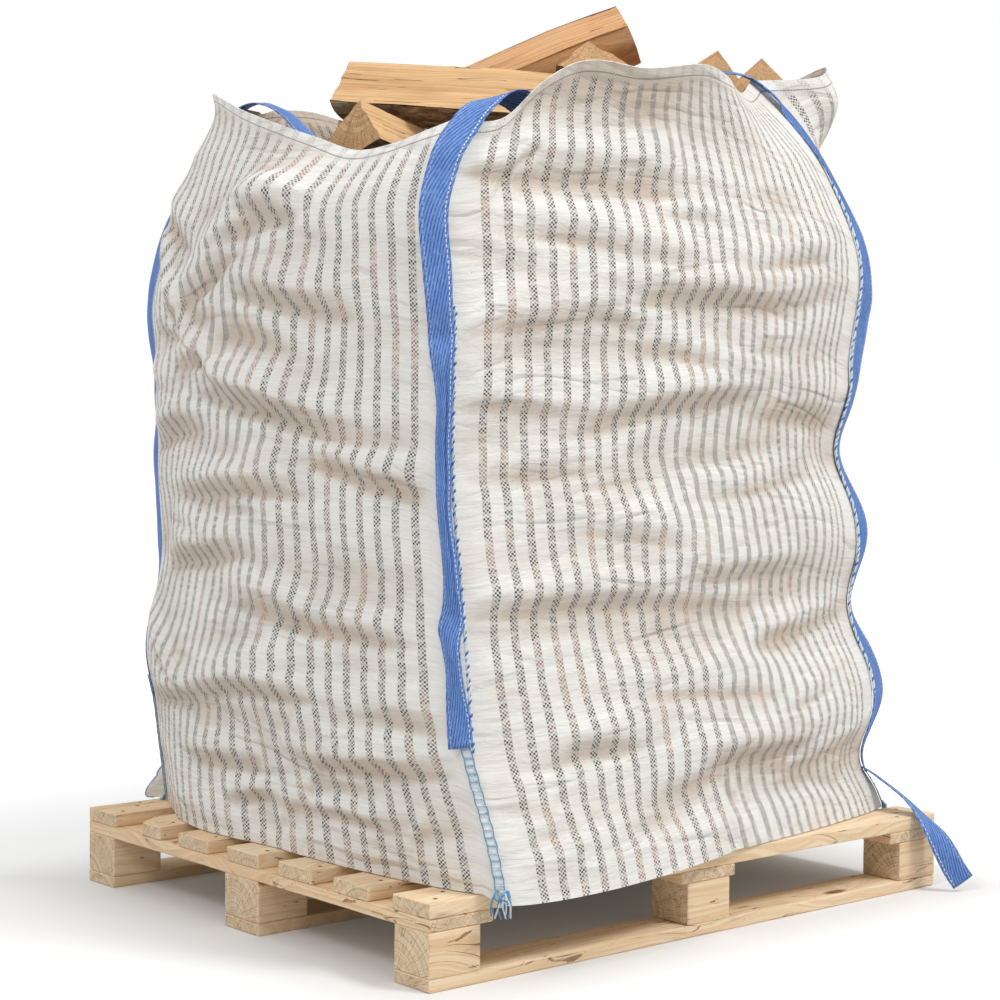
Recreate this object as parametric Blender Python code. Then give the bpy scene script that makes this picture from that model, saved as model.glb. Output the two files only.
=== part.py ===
"""Bulk bag of split firewood standing on a timber block pallet.

Metres, +Z up. The origin is the centre of the pallet's underside. X runs along the
deck boards and skids (1.2 m), Y along the stringers (1.0 m).
"""
import math
import random

import bmesh
import bpy
import numpy as np
from mathutils import Matrix, Vector, noise

# Pallet
PALLET_LENGTH = 1.200
PALLET_WIDTH = 1.000
SKID_THICKNESS = 0.020
BLOCK_HEIGHT = 0.070
STRINGER_THICKNESS = 0.020
DECK_THICKNESS = 0.024
BLOCK_LENGTH = 0.100
OUTER_BLOCK_WIDTH = 0.087
CENTRE_BLOCK_WIDTH = 0.100
STRINGER_WIDTH = 0.126
DECK_BOARD_COUNT = 7
DECK_BOARD_WIDTH = 0.092
BOARD_EDGE = 0.0015
BROKEN_BOARD = 5
BROKEN_LENGTH = 0.046
BROKEN_WIDTH = 0.036

# Clearance between pieces that touch
GAP = 0.0003

# Bag
FABRIC_THICKNESS = 0.004
SHOULDER_HEIGHT = 1.130
RIM_PULL = 2.6
SIDE_FULLNESS = 0.75
OVERHANG_SAG = 0.75
MOST_SAG = 0.034
FLOOR_CORNER = 0.004
EDGE_REST = 0.012
FLAP_REACH = 0.060

# Lifting straps
STRAP_WIDTH = 0.045
STRAP_THICKNESS = 0.003
STRAP_CLEARANCE = 0.0055
STRAP_FOOT = 0.20
STRAP_CREST = 0.010
TAIL_WIDTH = 0.042

# Firewood
LOAD_CLEARANCE = 0.014
LOAD_RIM_HEIGHT = 1.080
LOAD_CROWN = 0.055
LOAD_SLOPE = 0.100
LOG_CLEARANCE = 0.002
MOUTH_CLEARANCE = 0.026
HEAP_CEILING = 1.420
HEAP_CEILING_SLOPE = 0.095
HEAP_CEILING_STEP = 0.085
WHOLE_MOUTH = ((-0.40, 0.45), (-0.38, 0.42))
REAR_HALF = ((-0.05, 0.45), (-0.10, 0.36))
PLACES_TRIED = 26
HEAP_CELL = 0.008
SEED = 5

DECK_UNDERSIDE = SKID_THICKNESS + BLOCK_HEIGHT + STRINGER_THICKNESS + 3 * GAP
DECK_TOP = DECK_UNDERSIDE + DECK_THICKNESS
FLOOR_LEVEL = DECK_TOP + GAP

# Sides of the bag, in order: front to right, right to back, back to left, left to front.
SIDES = ("front", "right", "back", "left")

# Line of each corner seam from the bag's foot upwards: height, x, y.
CORNER_SEAMS = {
    "front": ((0.10, -0.484, -0.533), (0.21, -0.500, -0.519), (0.37, -0.533, -0.491),
              (0.57, -0.551, -0.475), (0.77, -0.560, -0.467), (1.00, -0.560, -0.466),
              (1.21, -0.560, -0.455), (1.40, -0.540, -0.440)),
    "right": ((0.13, 0.552, -0.394), (0.21, 0.532, -0.376), (0.36, 0.566, -0.405),
              (0.51, 0.515, -0.361), (0.65, 0.538, -0.380), (0.80, 0.492, -0.342),
              (0.93, 0.523, -0.368), (1.16, 0.541, -0.382), (1.29, 0.505, -0.352),
              (1.45, 0.480, -0.335)),
    "back": ((0.10, 0.522, 0.488), (0.40, 0.560, 0.555), (0.62, 0.535, 0.545),
             (0.90, 0.560, 0.565), (1.16, 0.545, 0.555), (1.45, 0.500, 0.500)),
    "left": ((0.13, -0.462, 0.500), (0.34, -0.455, 0.508), (0.41, -0.466, 0.516),
             (0.58, -0.452, 0.504), (0.75, -0.460, 0.510), (0.88, -0.456, 0.507),
             (1.05, -0.463, 0.513), (1.20, -0.446, 0.499), (1.33, -0.420, 0.470),
             (1.45, -0.400, 0.440)),
}

# How far the middle of each side stands out from the line between its corners:
# height, distance.
SIDE_BULGES = {
    "front": ((0.10, 0.048), (0.30, 0.042), (0.45, 0.040), (0.80, 0.034), (1.15, 0.042), (1.45, 0.030)),
    "right": ((0.10, 0.045), (0.45, 0.060), (0.80, 0.052), (1.15, 0.064), (1.35, 0.100),
              (1.45, 0.105)),
    "back": ((0.10, 0.045), (0.45, 0.058), (0.80, 0.050), (1.15, 0.060), (1.45, 0.040)),
    "left": ((0.10, 0.080), (0.45, 0.075), (0.80, 0.066), (1.15, 0.068), (1.45, 0.040)),
}

# Hem of the open mouth, side by side: fraction of the side, x, y, height. The lifting
# loops thrown inside draw the four corners in, and the panels stand up between them.
HEM = {
    "front": ((0.00, -0.505, -0.425, 1.312), (0.08, -0.437, -0.462, 1.318),
              (0.14, -0.385, -0.480, 1.370), (0.21, -0.325, -0.487, 1.408),
              (0.40, -0.150, -0.484, 1.423), (0.60, 0.020, -0.455, 1.449),
              (0.70, 0.100, -0.420, 1.444), (0.80, 0.185, -0.360, 1.438),
              (0.90, 0.262, -0.305, 1.444), (1.00, 0.335, -0.256, 1.478)),
    "right": ((0.00, 0.335, -0.256, 1.478), (0.12, 0.440, -0.268, 1.494),
              (0.25, 0.545, -0.242, 1.528), (0.45, 0.578, -0.040, 1.490),
              (0.70, 0.555, 0.210, 1.445), (0.88, 0.480, 0.385, 1.440),
              (1.00, 0.375, 0.420, 1.452)),
    "back": ((0.00, 0.375, 0.420, 1.452), (0.15, 0.260, 0.520, 1.440),
             (0.35, 0.070, 0.545, 1.443), (0.55, -0.080, 0.530, 1.458),
             (0.75, -0.192, 0.500, 1.448), (0.90, -0.252, 0.458, 1.432),
             (1.00, -0.302, 0.396, 1.424)),
    "left": ((0.00, -0.302, 0.396, 1.424), (0.09, -0.354, 0.432, 1.438),
             (0.18, -0.395, 0.410, 1.450), (0.35, -0.470, 0.200, 1.392),
             (0.50, -0.500, 0.040, 1.348), (0.62, -0.515, -0.090, 1.313),
             (0.74, -0.525, -0.210, 1.282), (0.84, -0.528, -0.300, 1.284),
             (0.94, -0.520, -0.385, 1.300), (1.00, -0.505, -0.425, 1.312)),
}

SIDE_STATIONS = (0.0, 0.021, 0.07, 0.15, 0.25, 0.37, 0.50, 0.63, 0.75, 0.85, 0.93, 0.979)
HEIGHT_STATIONS = (0.0, 0.05, 0.12, 0.20, 0.28, 0.36, 0.44, 0.52, 0.60, 0.68, 0.76, 0.84,
                   0.91, 0.965, 1.0)


# ---------------------------------------------------------------- shared helpers

def clear_scene():
    for old in list(bpy.data.objects):
        bpy.data.objects.remove(old, do_unlink=True)


def surface(name, colour, roughness, metallic=0.0):
    material = bpy.data.materials.new(name)
    material.use_nodes = True
    shader = material.node_tree.nodes["Principled BSDF"]
    shader.inputs["Base Color"].default_value = (*colour, 1.0)
    shader.inputs["Roughness"].default_value = roughness
    shader.inputs["Metallic"].default_value = metallic
    return material


def mesh_object(name, vertices, faces, material):
    mesh = bpy.data.meshes.new(name)
    mesh.from_pydata([tuple(v) for v in vertices], [], faces)
    mesh.materials.append(material)
    mesh.update()
    made = bpy.data.objects.new(name, mesh)
    bpy.context.scene.collection.objects.link(made)
    return made


def smooth_through(knots, position):
    """Smooth curve through knots of (position, values...), read at one position."""
    table = np.array(knots, dtype=float)
    places = table[:, 0]
    values = table[:, 1:]
    position = min(max(position, places[0]), places[-1])
    slopes = np.gradient(values, places, axis=0)
    index = int(np.clip(np.searchsorted(places, position) - 1, 0, len(places) - 2))
    span = places[index + 1] - places[index]
    s = (position - places[index]) / span
    return ((2 * s**3 - 3 * s**2 + 1) * values[index]
            + (s**3 - 2 * s**2 + s) * span * slopes[index]
            + (3 * s**2 - 2 * s**3) * values[index + 1]
            + (s**3 - s**2) * span * slopes[index + 1])


# ---------------------------------------------------------------- pallet

def timber(name, size, centre, material):
    """A sawn piece: a box with its edges just taken off."""
    frame = bmesh.new()
    bmesh.ops.create_cube(frame, size=1.0)
    bmesh.ops.scale(frame, vec=size, verts=frame.verts)
    bmesh.ops.bevel(frame, geom=frame.edges, offset=BOARD_EDGE, segments=1,
                    affect="EDGES", profile=0.5)
    mesh = bpy.data.meshes.new(name)
    frame.to_mesh(mesh)
    frame.free()
    mesh.materials.append(material)
    made = bpy.data.objects.new(name, mesh)
    made.location = centre
    bpy.context.scene.collection.objects.link(made)
    return made


def broken_board(name, size, centre, material):
    """A deck board whose outer corner has split off at one end."""
    x, y, z = (s / 2 for s in size)
    outline = ((-x, -y), (x, -y), (x, y), (-x + BROKEN_LENGTH, y),
               (-x + 0.62 * BROKEN_LENGTH, y - 0.45 * BROKEN_WIDTH),
               (-x + 0.30 * BROKEN_LENGTH, y - 0.60 * BROKEN_WIDTH),
               (-x, y - BROKEN_WIDTH))
    count = len(outline)
    vertices = [(px, py, -z) for px, py in outline] + [(px, py, z) for px, py in outline]
    faces = [tuple(reversed(range(count))), tuple(range(count, 2 * count))]
    for i in range(count):
        j = (i + 1) % count
        faces.append((i, j, count + j, count + i))
    made = mesh_object(name, vertices, faces, material)
    made.location = centre
    return made


def make_pallet():
    pine = surface("pallet_pine", (0.74, 0.60, 0.42), 0.8)
    x_rows = (-(PALLET_LENGTH - BLOCK_LENGTH) / 2, 0.0, (PALLET_LENGTH - BLOCK_LENGTH) / 2)
    y_rows = (-(PALLET_WIDTH - OUTER_BLOCK_WIDTH) / 2, 0.0,
              (PALLET_WIDTH - OUTER_BLOCK_WIDTH) / 2)
    widths = (OUTER_BLOCK_WIDTH, CENTRE_BLOCK_WIDTH, OUTER_BLOCK_WIDTH)
    block_z = SKID_THICKNESS + GAP + BLOCK_HEIGHT / 2
    stringer_z = SKID_THICKNESS + BLOCK_HEIGHT + 2 * GAP + STRINGER_THICKNESS / 2
    stringer_reach = (PALLET_LENGTH - STRINGER_WIDTH) / 2
    for row, (y, width) in enumerate(zip(y_rows, widths), start=1):
        timber(f"pallet_skid_{row}", (PALLET_LENGTH, width, SKID_THICKNESS),
               (0, y, SKID_THICKNESS / 2), pine)
        for column, x in enumerate(x_rows, start=1):
            timber(f"pallet_block_{row}_{column}", (BLOCK_LENGTH, width, BLOCK_HEIGHT),
                   (x, y, block_z), pine)
    for column, x in enumerate((-stringer_reach, 0.0, stringer_reach), start=1):
        timber(f"pallet_stringer_{column}", (STRINGER_WIDTH, PALLET_WIDTH, STRINGER_THICKNESS),
               (x, 0, stringer_z), pine)
    pitch = (PALLET_WIDTH - DECK_BOARD_WIDTH) / (DECK_BOARD_COUNT - 1)
    for number in range(DECK_BOARD_COUNT):
        y = -(PALLET_WIDTH - DECK_BOARD_WIDTH) / 2 + number * pitch
        build = broken_board if number == BROKEN_BOARD else timber
        build(f"pallet_deck_board_{number + 1}",
              (PALLET_LENGTH, DECK_BOARD_WIDTH, DECK_THICKNESS),
              (0, y, DECK_UNDERSIDE + DECK_THICKNESS / 2), pine)


# ---------------------------------------------------------------- bag shape

def side_corners(side):
    index = SIDES.index(side)
    return side, SIDES[(index + 1) % len(SIDES)]


def body_point(side, along, height):
    """Point of the full part of the bag, below its mouth."""
    start, end = side_corners(side)
    a = smooth_through(CORNER_SEAMS[start], height)
    b = smooth_through(CORNER_SEAMS[end], height)
    run = b - a
    outward = np.array((run[1], -run[0])) / np.linalg.norm(run)
    bulge = smooth_through(SIDE_BULGES[side], height)[0]
    return a + run * along + outward * bulge * (4 * along * (1 - along)) ** SIDE_FULLNESS


def overhang(point):
    """How far a point lies outside the pallet's deck, seen from above."""
    return max(abs(point[0]) - PALLET_LENGTH / 2, abs(point[1]) - PALLET_WIDTH / 2, 0.0)


def foot_height(point):
    beyond = overhang(point) - EDGE_REST
    if beyond > 0:
        return FLOOR_LEVEL - min(OVERHANG_SAG * beyond, MOST_SAG)
    return FLOOR_LEVEL + FLOOR_CORNER


def bump(t):
    """Smooth rise and fall: 1 at 0, nothing beyond 1 either way."""
    return max(0.0, 1 - t * t) ** 2


def bag_point(side, along, up):
    """Point of the bag's outer face: along its side, and up from foot to hem, 0 to 1."""
    hem = smooth_through(HEM[side], along)
    foot = foot_height(body_point(side, along, FLOOR_LEVEL))
    height = foot + (hem[2] - foot) * up
    body = body_point(side, along, height)
    pull = 0.0
    if height > SHOULDER_HEIGHT:
        pull = ((height - SHOULDER_HEIGHT) / (hem[2] - SHOULDER_HEIGHT)) ** RIM_PULL
    x, y = body * (1 - pull) + hem[:2] * pull
    if side == "right":
        flap = FLAP_REACH * bump((along - 0.15) / 0.16) * bump((height - 1.44) / 0.13)
        x, y = x + 0.76 * flap, y - 0.65 * flap
    return Vector((x, y, height))


def bag_rows():
    """Rings of points around the bag, from the foot up to the hem."""
    return [[bag_point(side, along, up) for side in SIDES for along in SIDE_STATIONS]
            for up in HEIGHT_STATIONS]


def inset(point, distance, centre):
    """The point moved sideways towards the bag's middle."""
    towards = Vector((centre.x - point.x, centre.y - point.y, 0.0))
    return point + towards.normalized() * distance


def clamp_to_deck(point, margin):
    """The point brought inside the deck's outline less a margin, at floor level."""
    x = PALLET_LENGTH / 2 - margin
    y = PALLET_WIDTH / 2 - margin
    return Vector((min(max(point.x, -x), x), min(max(point.y, -y), y), FLOOR_LEVEL))


def floor_rows(foot):
    """Rings that carry the bag's foot in under its load, outermost first."""
    centre = sum(foot, Vector()) / len(foot)
    outside = -0.004
    under_edge = [clamp_to_deck(inset(p, 0.012, centre), outside) for p in foot]
    for ring_point, foot_point in zip(under_edge, foot):
        if overhang(foot_point) > 0:
            ring_point.z += 0.0015
    inner_edge = [clamp_to_deck(inset(p, 0.030, centre), 0.010) for p in foot]
    middle = [clamp_to_deck(inset(p, 0.30, centre), 0.010) for p in foot]
    return under_edge, inner_edge, middle


def loft(rows, close_start=False, close_end=False):
    """Vertices and triangles of a skin over rings of equal length, facing outwards."""
    count = len(rows[0])
    vertices = [p for row in rows for p in row]
    faces = []
    for r in range(len(rows) - 1):
        for i in range(count):
            j = (i + 1) % count
            low, low_next = r * count + i, r * count + j
            high, high_next = low + count, low_next + count
            faces.append((low, low_next, high_next))
            faces.append((low, high_next, high))
    if close_start:
        faces.append(tuple(reversed(range(count))))
    if close_end:
        last = (len(rows) - 1) * count
        faces.append(tuple(range(last, last + count)))
    return vertices, faces


def make_bag(rows):
    fabric = surface("woven_fabric", (0.83, 0.81, 0.77), 0.75)
    under_edge, inner_edge, middle = floor_rows(rows[0])
    vertices, faces = loft([middle, inner_edge, under_edge] + rows, close_start=True)
    bag = mesh_object("bag_fabric", vertices, faces, fabric)
    wall = bag.modifiers.new("fabric thickness", "SOLIDIFY")
    wall.thickness = FABRIC_THICKNESS
    wall.offset = -1.0
    return bag


def outward_normals(rows):
    """Outward direction at each point of the bag's rings."""
    count = len(rows[0])
    normals = []
    for r, row in enumerate(rows):
        below = rows[max(r - 1, 0)]
        above = rows[min(r + 1, len(rows) - 1)]
        normals.append([(row[(i + 1) % count] - row[i - 1]).cross(above[i] - below[i]).normalized()
                        for i in range(count)])
    return normals


# ---------------------------------------------------------------- straps

def ribbon(name, sections, material):
    """Closed strap through sections, each a pair of rows: its outer and inner face."""
    rows = [list(outer) + list(reversed(inner)) for outer, inner in sections]
    vertices, faces = loft(rows, close_start=True, close_end=True)
    return mesh_object(name, vertices, faces, material)


def strap_section(row, normals, column, clearance):
    """Strap faces across a corner: clearance is negative inside the bag."""
    count = len(row)
    columns = [(column + step) % count for step in (-1, 0, 1)]
    away = math.copysign(STRAP_THICKNESS, clearance)
    near = [row[c] + normals[c] * clearance for c in columns]
    far = [row[c] + normals[c] * (clearance + away) for c in columns]
    return (far, near)


def make_corner_straps(rows, normals):
    """A strap up each corner, over the hem and a little way down inside."""
    webbing = surface("blue_webbing", (0.06, 0.17, 0.50), 0.7)
    foot_row = next(r for r, up in enumerate(HEIGHT_STATIONS) if up >= STRAP_FOOT)
    last = len(rows) - 1
    inner_clearance = -(FABRIC_THICKNESS + 2 * STRAP_CLEARANCE)
    for corner, name in enumerate(SIDES):
        column = corner * len(SIDE_STATIONS)
        outside = [strap_section(rows[r], normals[r], column, STRAP_CLEARANCE)
                   for r in range(foot_row, len(rows))]
        inside = [strap_section(rows[r], normals[r], column, inner_clearance)
                  for r in (last, last - 1)]
        crest = []
        for share in (0.15, 0.85):
            low = [a.lerp(b, share) + Vector((0, 0, STRAP_CREST))
                   for a, b in zip(outside[-1][1], inside[0][1])]
            crest.append(([p + Vector((0, 0, STRAP_THICKNESS)) for p in low], low))
        ribbon(f"lifting_strap_{name}", outside + crest + inside, webbing)
    return webbing


# Free end of the right strap, hanging over the pallet's corner nearly to the floor: x, y, z.
TAIL_ROUTE = ((0.538, -0.402, 0.200), (0.528, -0.440, 0.192), (0.523, -0.474, 0.181),
              (0.530, -0.506, 0.163), (0.556, -0.523, 0.124), (0.583, -0.527, 0.080),
              (0.616, -0.533, 0.050), (0.646, -0.539, 0.024))
TAIL_START_FACING = (-0.20, -0.20, 0.95)
TAIL_END_FACING = (-0.65, -0.76, 0.0)


def make_strap_tail(webbing):
    """The tail lies flat where it leaves the bag and turns on its way down."""
    points = [Vector(p) for p in TAIL_ROUTE]
    last = len(points) - 1
    sections = []
    for i, point in enumerate(points):
        along = (points[min(i + 1, last)] - points[max(i - 1, 0)]).normalized()
        turn = min(1.0, 1.6 * i / last)
        facing = Vector(TAIL_START_FACING).lerp(Vector(TAIL_END_FACING), turn)
        across = along.cross(facing).normalized() * (TAIL_WIDTH / 2)
        half = across.cross(along).normalized() * (STRAP_THICKNESS / 2)
        sections.append(([point - across + half, point + half, point + across + half],
                         [point - across - half, point - half, point + across - half]))
    ribbon("lifting_strap_tail", sections, webbing)


# ---------------------------------------------------------------- firewood

def load_top_height(x, y):
    """Level of the packed wood under the loose top logs: it rises to the right and back."""
    along_view = (x + y) / (PALLET_LENGTH + PALLET_WIDTH)
    lumps = 0.018 * noise.noise(Vector((x * 7.0, y * 7.0, 3.1)))
    return LOAD_RIM_HEIGHT + LOAD_CROWN * 0.5 + LOAD_SLOPE * along_view + lumps


def make_load(rows, normals, material):
    """The packed lower firewood, as one body of its outer form."""
    top_row = next(r for r, up in enumerate(HEIGHT_STATIONS) if up >= 0.84)
    skins = [[p - n * LOAD_CLEARANCE for p, n in zip(rows[r], normals[r])]
             for r in range(1, top_row + 1)]
    centre = sum(rows[0], Vector()) / len(rows[0])
    centre.z = 0.0
    foot = [clamp_to_deck(inset(p, 0.040, centre), 0.025) for p in rows[0]]
    for point in foot:
        point.z = FLOOR_LEVEL + FABRIC_THICKNESS + 0.001
    rings = []
    edge = skins[-1]
    for share in (0.84, 0.60, 0.36, 0.14):
        ring = []
        for p in edge:
            q = centre.lerp(p, share)
            level = load_top_height(q.x, q.y)
            ring.append(Vector((q.x, q.y, p.z + (level - p.z) * min(1.0, (1 - share) * 2.6))))
        rings.append(ring)
    vertices, faces = loft([foot] + skins + rings, close_start=True, close_end=True)
    mesh_object("firewood_load", vertices, faces, material)
    return np.array(vertices), faces


def log_outline(kind, size, rng):
    """Cross-section of a split log: the pith at the origin, bark on the arc."""
    if kind == "inner":
        wide, thick = size, size * 0.62
        corners = ((-0.5, -0.5), (0.5, -0.42), (0.46, 0.5), (-0.42, 0.44))
        outline = [(wide * u, thick * v) for u, v in corners]
    else:
        span = {"quarter": 88, "third": 122, "half": 176}[kind]
        steps = {"quarter": 5, "third": 6, "half": 8}[kind]
        start = math.radians(90 - span / 2)
        outline = [(0.0, 0.0)]
        for i in range(steps + 1):
            angle = start + math.radians(span) * i / steps
            radius = size * rng.uniform(0.96, 1.03)
            outline.append((radius * math.cos(angle), radius * math.sin(angle)))
    middle = np.mean(outline, axis=0)
    return [(u - middle[0], v - middle[1]) for u, v in outline]


def log_shape(kind, length, size, rng):
    """Vertices and faces of one split log lying along X, centred."""
    outline = log_outline(kind, size, rng)
    count = len(outline)
    skews = [(rng.uniform(-0.10, 0.10), rng.uniform(-0.10, 0.10)) for _ in range(2)]
    vertices = []
    for station in (-0.5, -0.16, 0.17, 0.5):
        scale = rng.uniform(0.95, 1.04)
        shift_y, shift_z = rng.uniform(-0.003, 0.003), rng.uniform(-0.003, 0.003)
        skew_y, skew_z = skews[0] if station < 0 else skews[1]
        if abs(station) < 0.5:
            skew_y = skew_z = 0.0
        for u, v in outline:
            y, z = u * scale + shift_y, v * scale + shift_z
            vertices.append((station * length + skew_y * u + skew_z * v, y, z))
    faces = [tuple(reversed(range(count))), tuple(range(3 * count, 4 * count))]
    for row in range(3):
        for i in range(count):
            j = (i + 1) % count
            faces.append((row * count + i, row * count + j,
                          (row + 1) * count + j, (row + 1) * count + i))
    return np.array(vertices), faces


class Heap:
    """Height of everything that already lies in the bag, on a square grid."""

    def __init__(self, mouth, load, half=0.66):
        self.half = half
        self.cells = int(2 * half / HEAP_CELL)
        places = (np.arange(self.cells) + 0.5) * HEAP_CELL - half
        self.x, self.y = np.meshgrid(places, places, indexing="ij")
        self.height = self.footprint(*load)[1]
        self.open = self.inside(mouth)

    def inside(self, outline):
        """Grid cells whose centres are within a closed outline."""
        held = np.zeros(self.x.shape, dtype=bool)
        for (x0, y0), (x1, y1) in zip(outline, outline[1:] + outline[:1]):
            crosses = (y0 > self.y) != (y1 > self.y)
            slope = (x1 - x0) / (y1 - y0 if y1 != y0 else 1e-9)
            held ^= crosses & (self.x < x0 + (self.y - y0) * slope)
        return held

    def footprint(self, vertices, faces):
        """Lowest and highest surface of a body over each cell that it covers."""
        low = np.full(self.x.shape, np.inf)
        high = np.full(self.x.shape, -np.inf)
        for face in faces:
            for k in range(1, len(face) - 1):
                a, b, c = vertices[face[0]], vertices[face[k]], vertices[face[k + 1]]
                corners = np.array((a, b, c))
                lo = np.floor((corners[:, :2].min(0) + self.half) / HEAP_CELL).astype(int) - 1
                hi = np.ceil((corners[:, :2].max(0) + self.half) / HEAP_CELL).astype(int) + 1
                lo, hi = np.maximum(lo, 0), np.minimum(hi, self.cells)
                area = (b[0] - a[0]) * (c[1] - a[1]) - (c[0] - a[0]) * (b[1] - a[1])
                if abs(area) < 1e-9 or (hi <= lo).any():
                    continue
                patch = (slice(lo[0], hi[0]), slice(lo[1], hi[1]))
                x, y = self.x[patch], self.y[patch]
                u = ((x - a[0]) * (c[1] - a[1]) - (c[0] - a[0]) * (y - a[1])) / area
                v = ((b[0] - a[0]) * (y - a[1]) - (x - a[0]) * (b[1] - a[1])) / area
                over = (u >= 0) & (v >= 0) & (u + v <= 1)
                z = a[2] + u * (b[2] - a[2]) + v * (c[2] - a[2])
                low[patch] = np.where(over, np.minimum(low[patch], z), low[patch])
                high[patch] = np.where(over, np.maximum(high[patch], z), high[patch])
        return low, high

    def widened(self, heights):
        """The greatest height within one cell, so that bodies keep clear sideways."""
        grown = heights.copy()
        for dx in (-1, 0, 1):
            for dy in (-1, 0, 1):
                grown = np.maximum(grown, np.roll(heights, (dx, dy), axis=(0, 1)))
        return grown

    def holds(self, low):
        """Whether a body's whole footprint is inside the mouth."""
        return bool(self.open[np.isfinite(low)].all())

    def rest_height(self, low):
        """How far a body must rise to lie clear on the heap."""
        return float(np.max(self.widened(self.height) - low)) + LOG_CLEARANCE

    def add(self, high, rise):
        self.height = np.maximum(self.height, np.where(np.isfinite(high), high + rise, -np.inf))


def turned(vertices, yaw, pitch, roll):
    turn = Matrix.Rotation(math.radians(yaw), 3, "Z")
    tilt = Matrix.Rotation(math.radians(-pitch), 3, "Y")
    spin = Matrix.Rotation(math.radians(roll), 3, "X")
    return vertices @ np.array(turn @ tilt @ spin).T


def ceiling(x, y):
    """Level that the jumbled logs stay under, so that the named ones stand clear."""
    to_right = min(max((x - y) / 0.4, 0.0), 1.0)
    return HEAP_CEILING + HEAP_CEILING_SLOPE * (x + y) + HEAP_CEILING_STEP * to_right


def lay_log(heap, name, shape, faces, poses, top, material):
    """Lay one log on the heap in the pose that suits it best.

    A pose is x, y, yaw, pitch, roll: metres and degrees. With a wanted top level the
    nearest is taken, without one the lowest that stays under the ceiling.
    """
    best = None
    for x, y, yaw, pitch, roll in poses:
        placed = turned(shape, yaw, pitch, roll) + np.array((x, y, 0.0))
        low, high = heap.footprint(placed, faces)
        if not heap.holds(low):
            continue
        rise = heap.rest_height(low)
        spare = min(ceiling(px, py) - pz - rise for px, py, pz in placed)
        if top is None and spare < 0:
            continue
        score = rise if top is None else abs(placed[:, 2].max() + rise - top)
        if best is None or score < best[0]:
            best = (score, rise, placed, high)
    if best is None:
        return
    score, rise, placed, high = best
    heap.add(high, rise)
    mesh_object(name, placed + np.array((0.0, 0.0, rise)), faces, material)


def lay_jumbled_logs(heap, numbers, region, material, rng):
    """Logs laid anyhow, each where it lies lowest of several random places."""
    x_range, y_range = region
    kinds = ("quarter", "third", "inner", "quarter", "half", "third")
    for number in numbers:
        kind = kinds[number % len(kinds)]
        size = rng.uniform(0.085, 0.105) if kind != "half" else rng.uniform(0.060, 0.070)
        shape, faces = log_shape(kind, rng.uniform(0.33, 0.38), size, rng)
        roll = rng.choice((60, 150, 180, 215, 300))
        poses = []
        for _ in range(PLACES_TRIED):
            x, y, yaw = rng.uniform(*x_range), rng.uniform(*y_range), rng.uniform(0, 180)
            poses += [(x, y, yaw, pitch, roll) for pitch in (-9, 0, 9)]
        lay_log(heap, f"firewood_log_{number:02d}", shape, faces, poses, None, material)


def lay_named_logs(heap, logs, material, rng):
    """Logs laid at a chosen place, tilted so that their tops come to a chosen level."""
    for name, kind, length, size, x, y, yaw, pitches, roll, top in logs:
        shape, faces = log_shape(kind, length, size, rng)
        poses = [(x, y, yaw, pitch, roll) for pitch in pitches]
        lay_log(heap, name, shape, faces, poses, top, material)


# Logs that stand over the hem: name, kind, length, size, x, y, yaw, pitches tried, roll,
# level of the top.
FRONT_LOGS = (
    ("firewood_log_end", "quarter", 0.32, 0.095, -0.315, -0.155, 4, (-22, -18, -14), 180, 1.38),
    ("firewood_log_slab", "third", 0.41, 0.108, -0.268, -0.160, -63, (-10, -8, -6, -4), 197, 1.465),
    ("firewood_log_tip", "quarter", 0.33, 0.090, 0.090, -0.075, 235, (42, 46, 50, 54), 180, 1.535),
)
REAR_LOGS = (
    ("firewood_log_right", "quarter", 0.34, 0.095, 0.270, -0.048, 282, (9, 14, 19, 24), 180, 1.54),
    ("firewood_log_far", "quarter", 0.34, 0.090, 0.450, -0.025, 270, (9, 14, 19, 24), 180, 1.55),
    ("firewood_log_rear", "third", 0.40, 0.120, 0.052, 0.025, -41, (14, 17, 20, 23), 180, 1.62),
)


def make_logs(rows, load, material):
    rng = random.Random(SEED)
    centre = sum(rows[-1], Vector()) / len(rows[-1])
    mouth = [inset(p, MOUTH_CLEARANCE, centre) for p in rows[-1]]
    heap = Heap([(p.x, p.y) for p in mouth], load)
    lay_jumbled_logs(heap, range(1, 8), WHOLE_MOUTH, material, rng)
    lay_named_logs(heap, FRONT_LOGS, material, rng)
    lay_jumbled_logs(heap, range(8, 12), REAR_HALF, material, rng)
    lay_named_logs(heap, REAR_LOGS, material, rng)
    lay_jumbled_logs(heap, range(12, 24), WHOLE_MOUTH, material, rng)


def main():
    clear_scene()
    make_pallet()
    rows = bag_rows()
    normals = outward_normals(rows)
    make_bag(rows)
    webbing = make_corner_straps(rows, normals)
    make_strap_tail(webbing)
    wood = surface("split_firewood", (0.72, 0.48, 0.26), 0.8)
    load = make_load(rows, normals, wood)
    make_logs(rows, load, wood)


main()
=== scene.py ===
"""Looks of the bulk bag of firewood: striped woven bag, blue straps, split logs, pallet.

Metres, +Z up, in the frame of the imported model. The pallet's underside centre is the origin.
"""

import math
import random

import bpy
import numpy as np
from mathutils import Matrix, Vector


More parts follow.
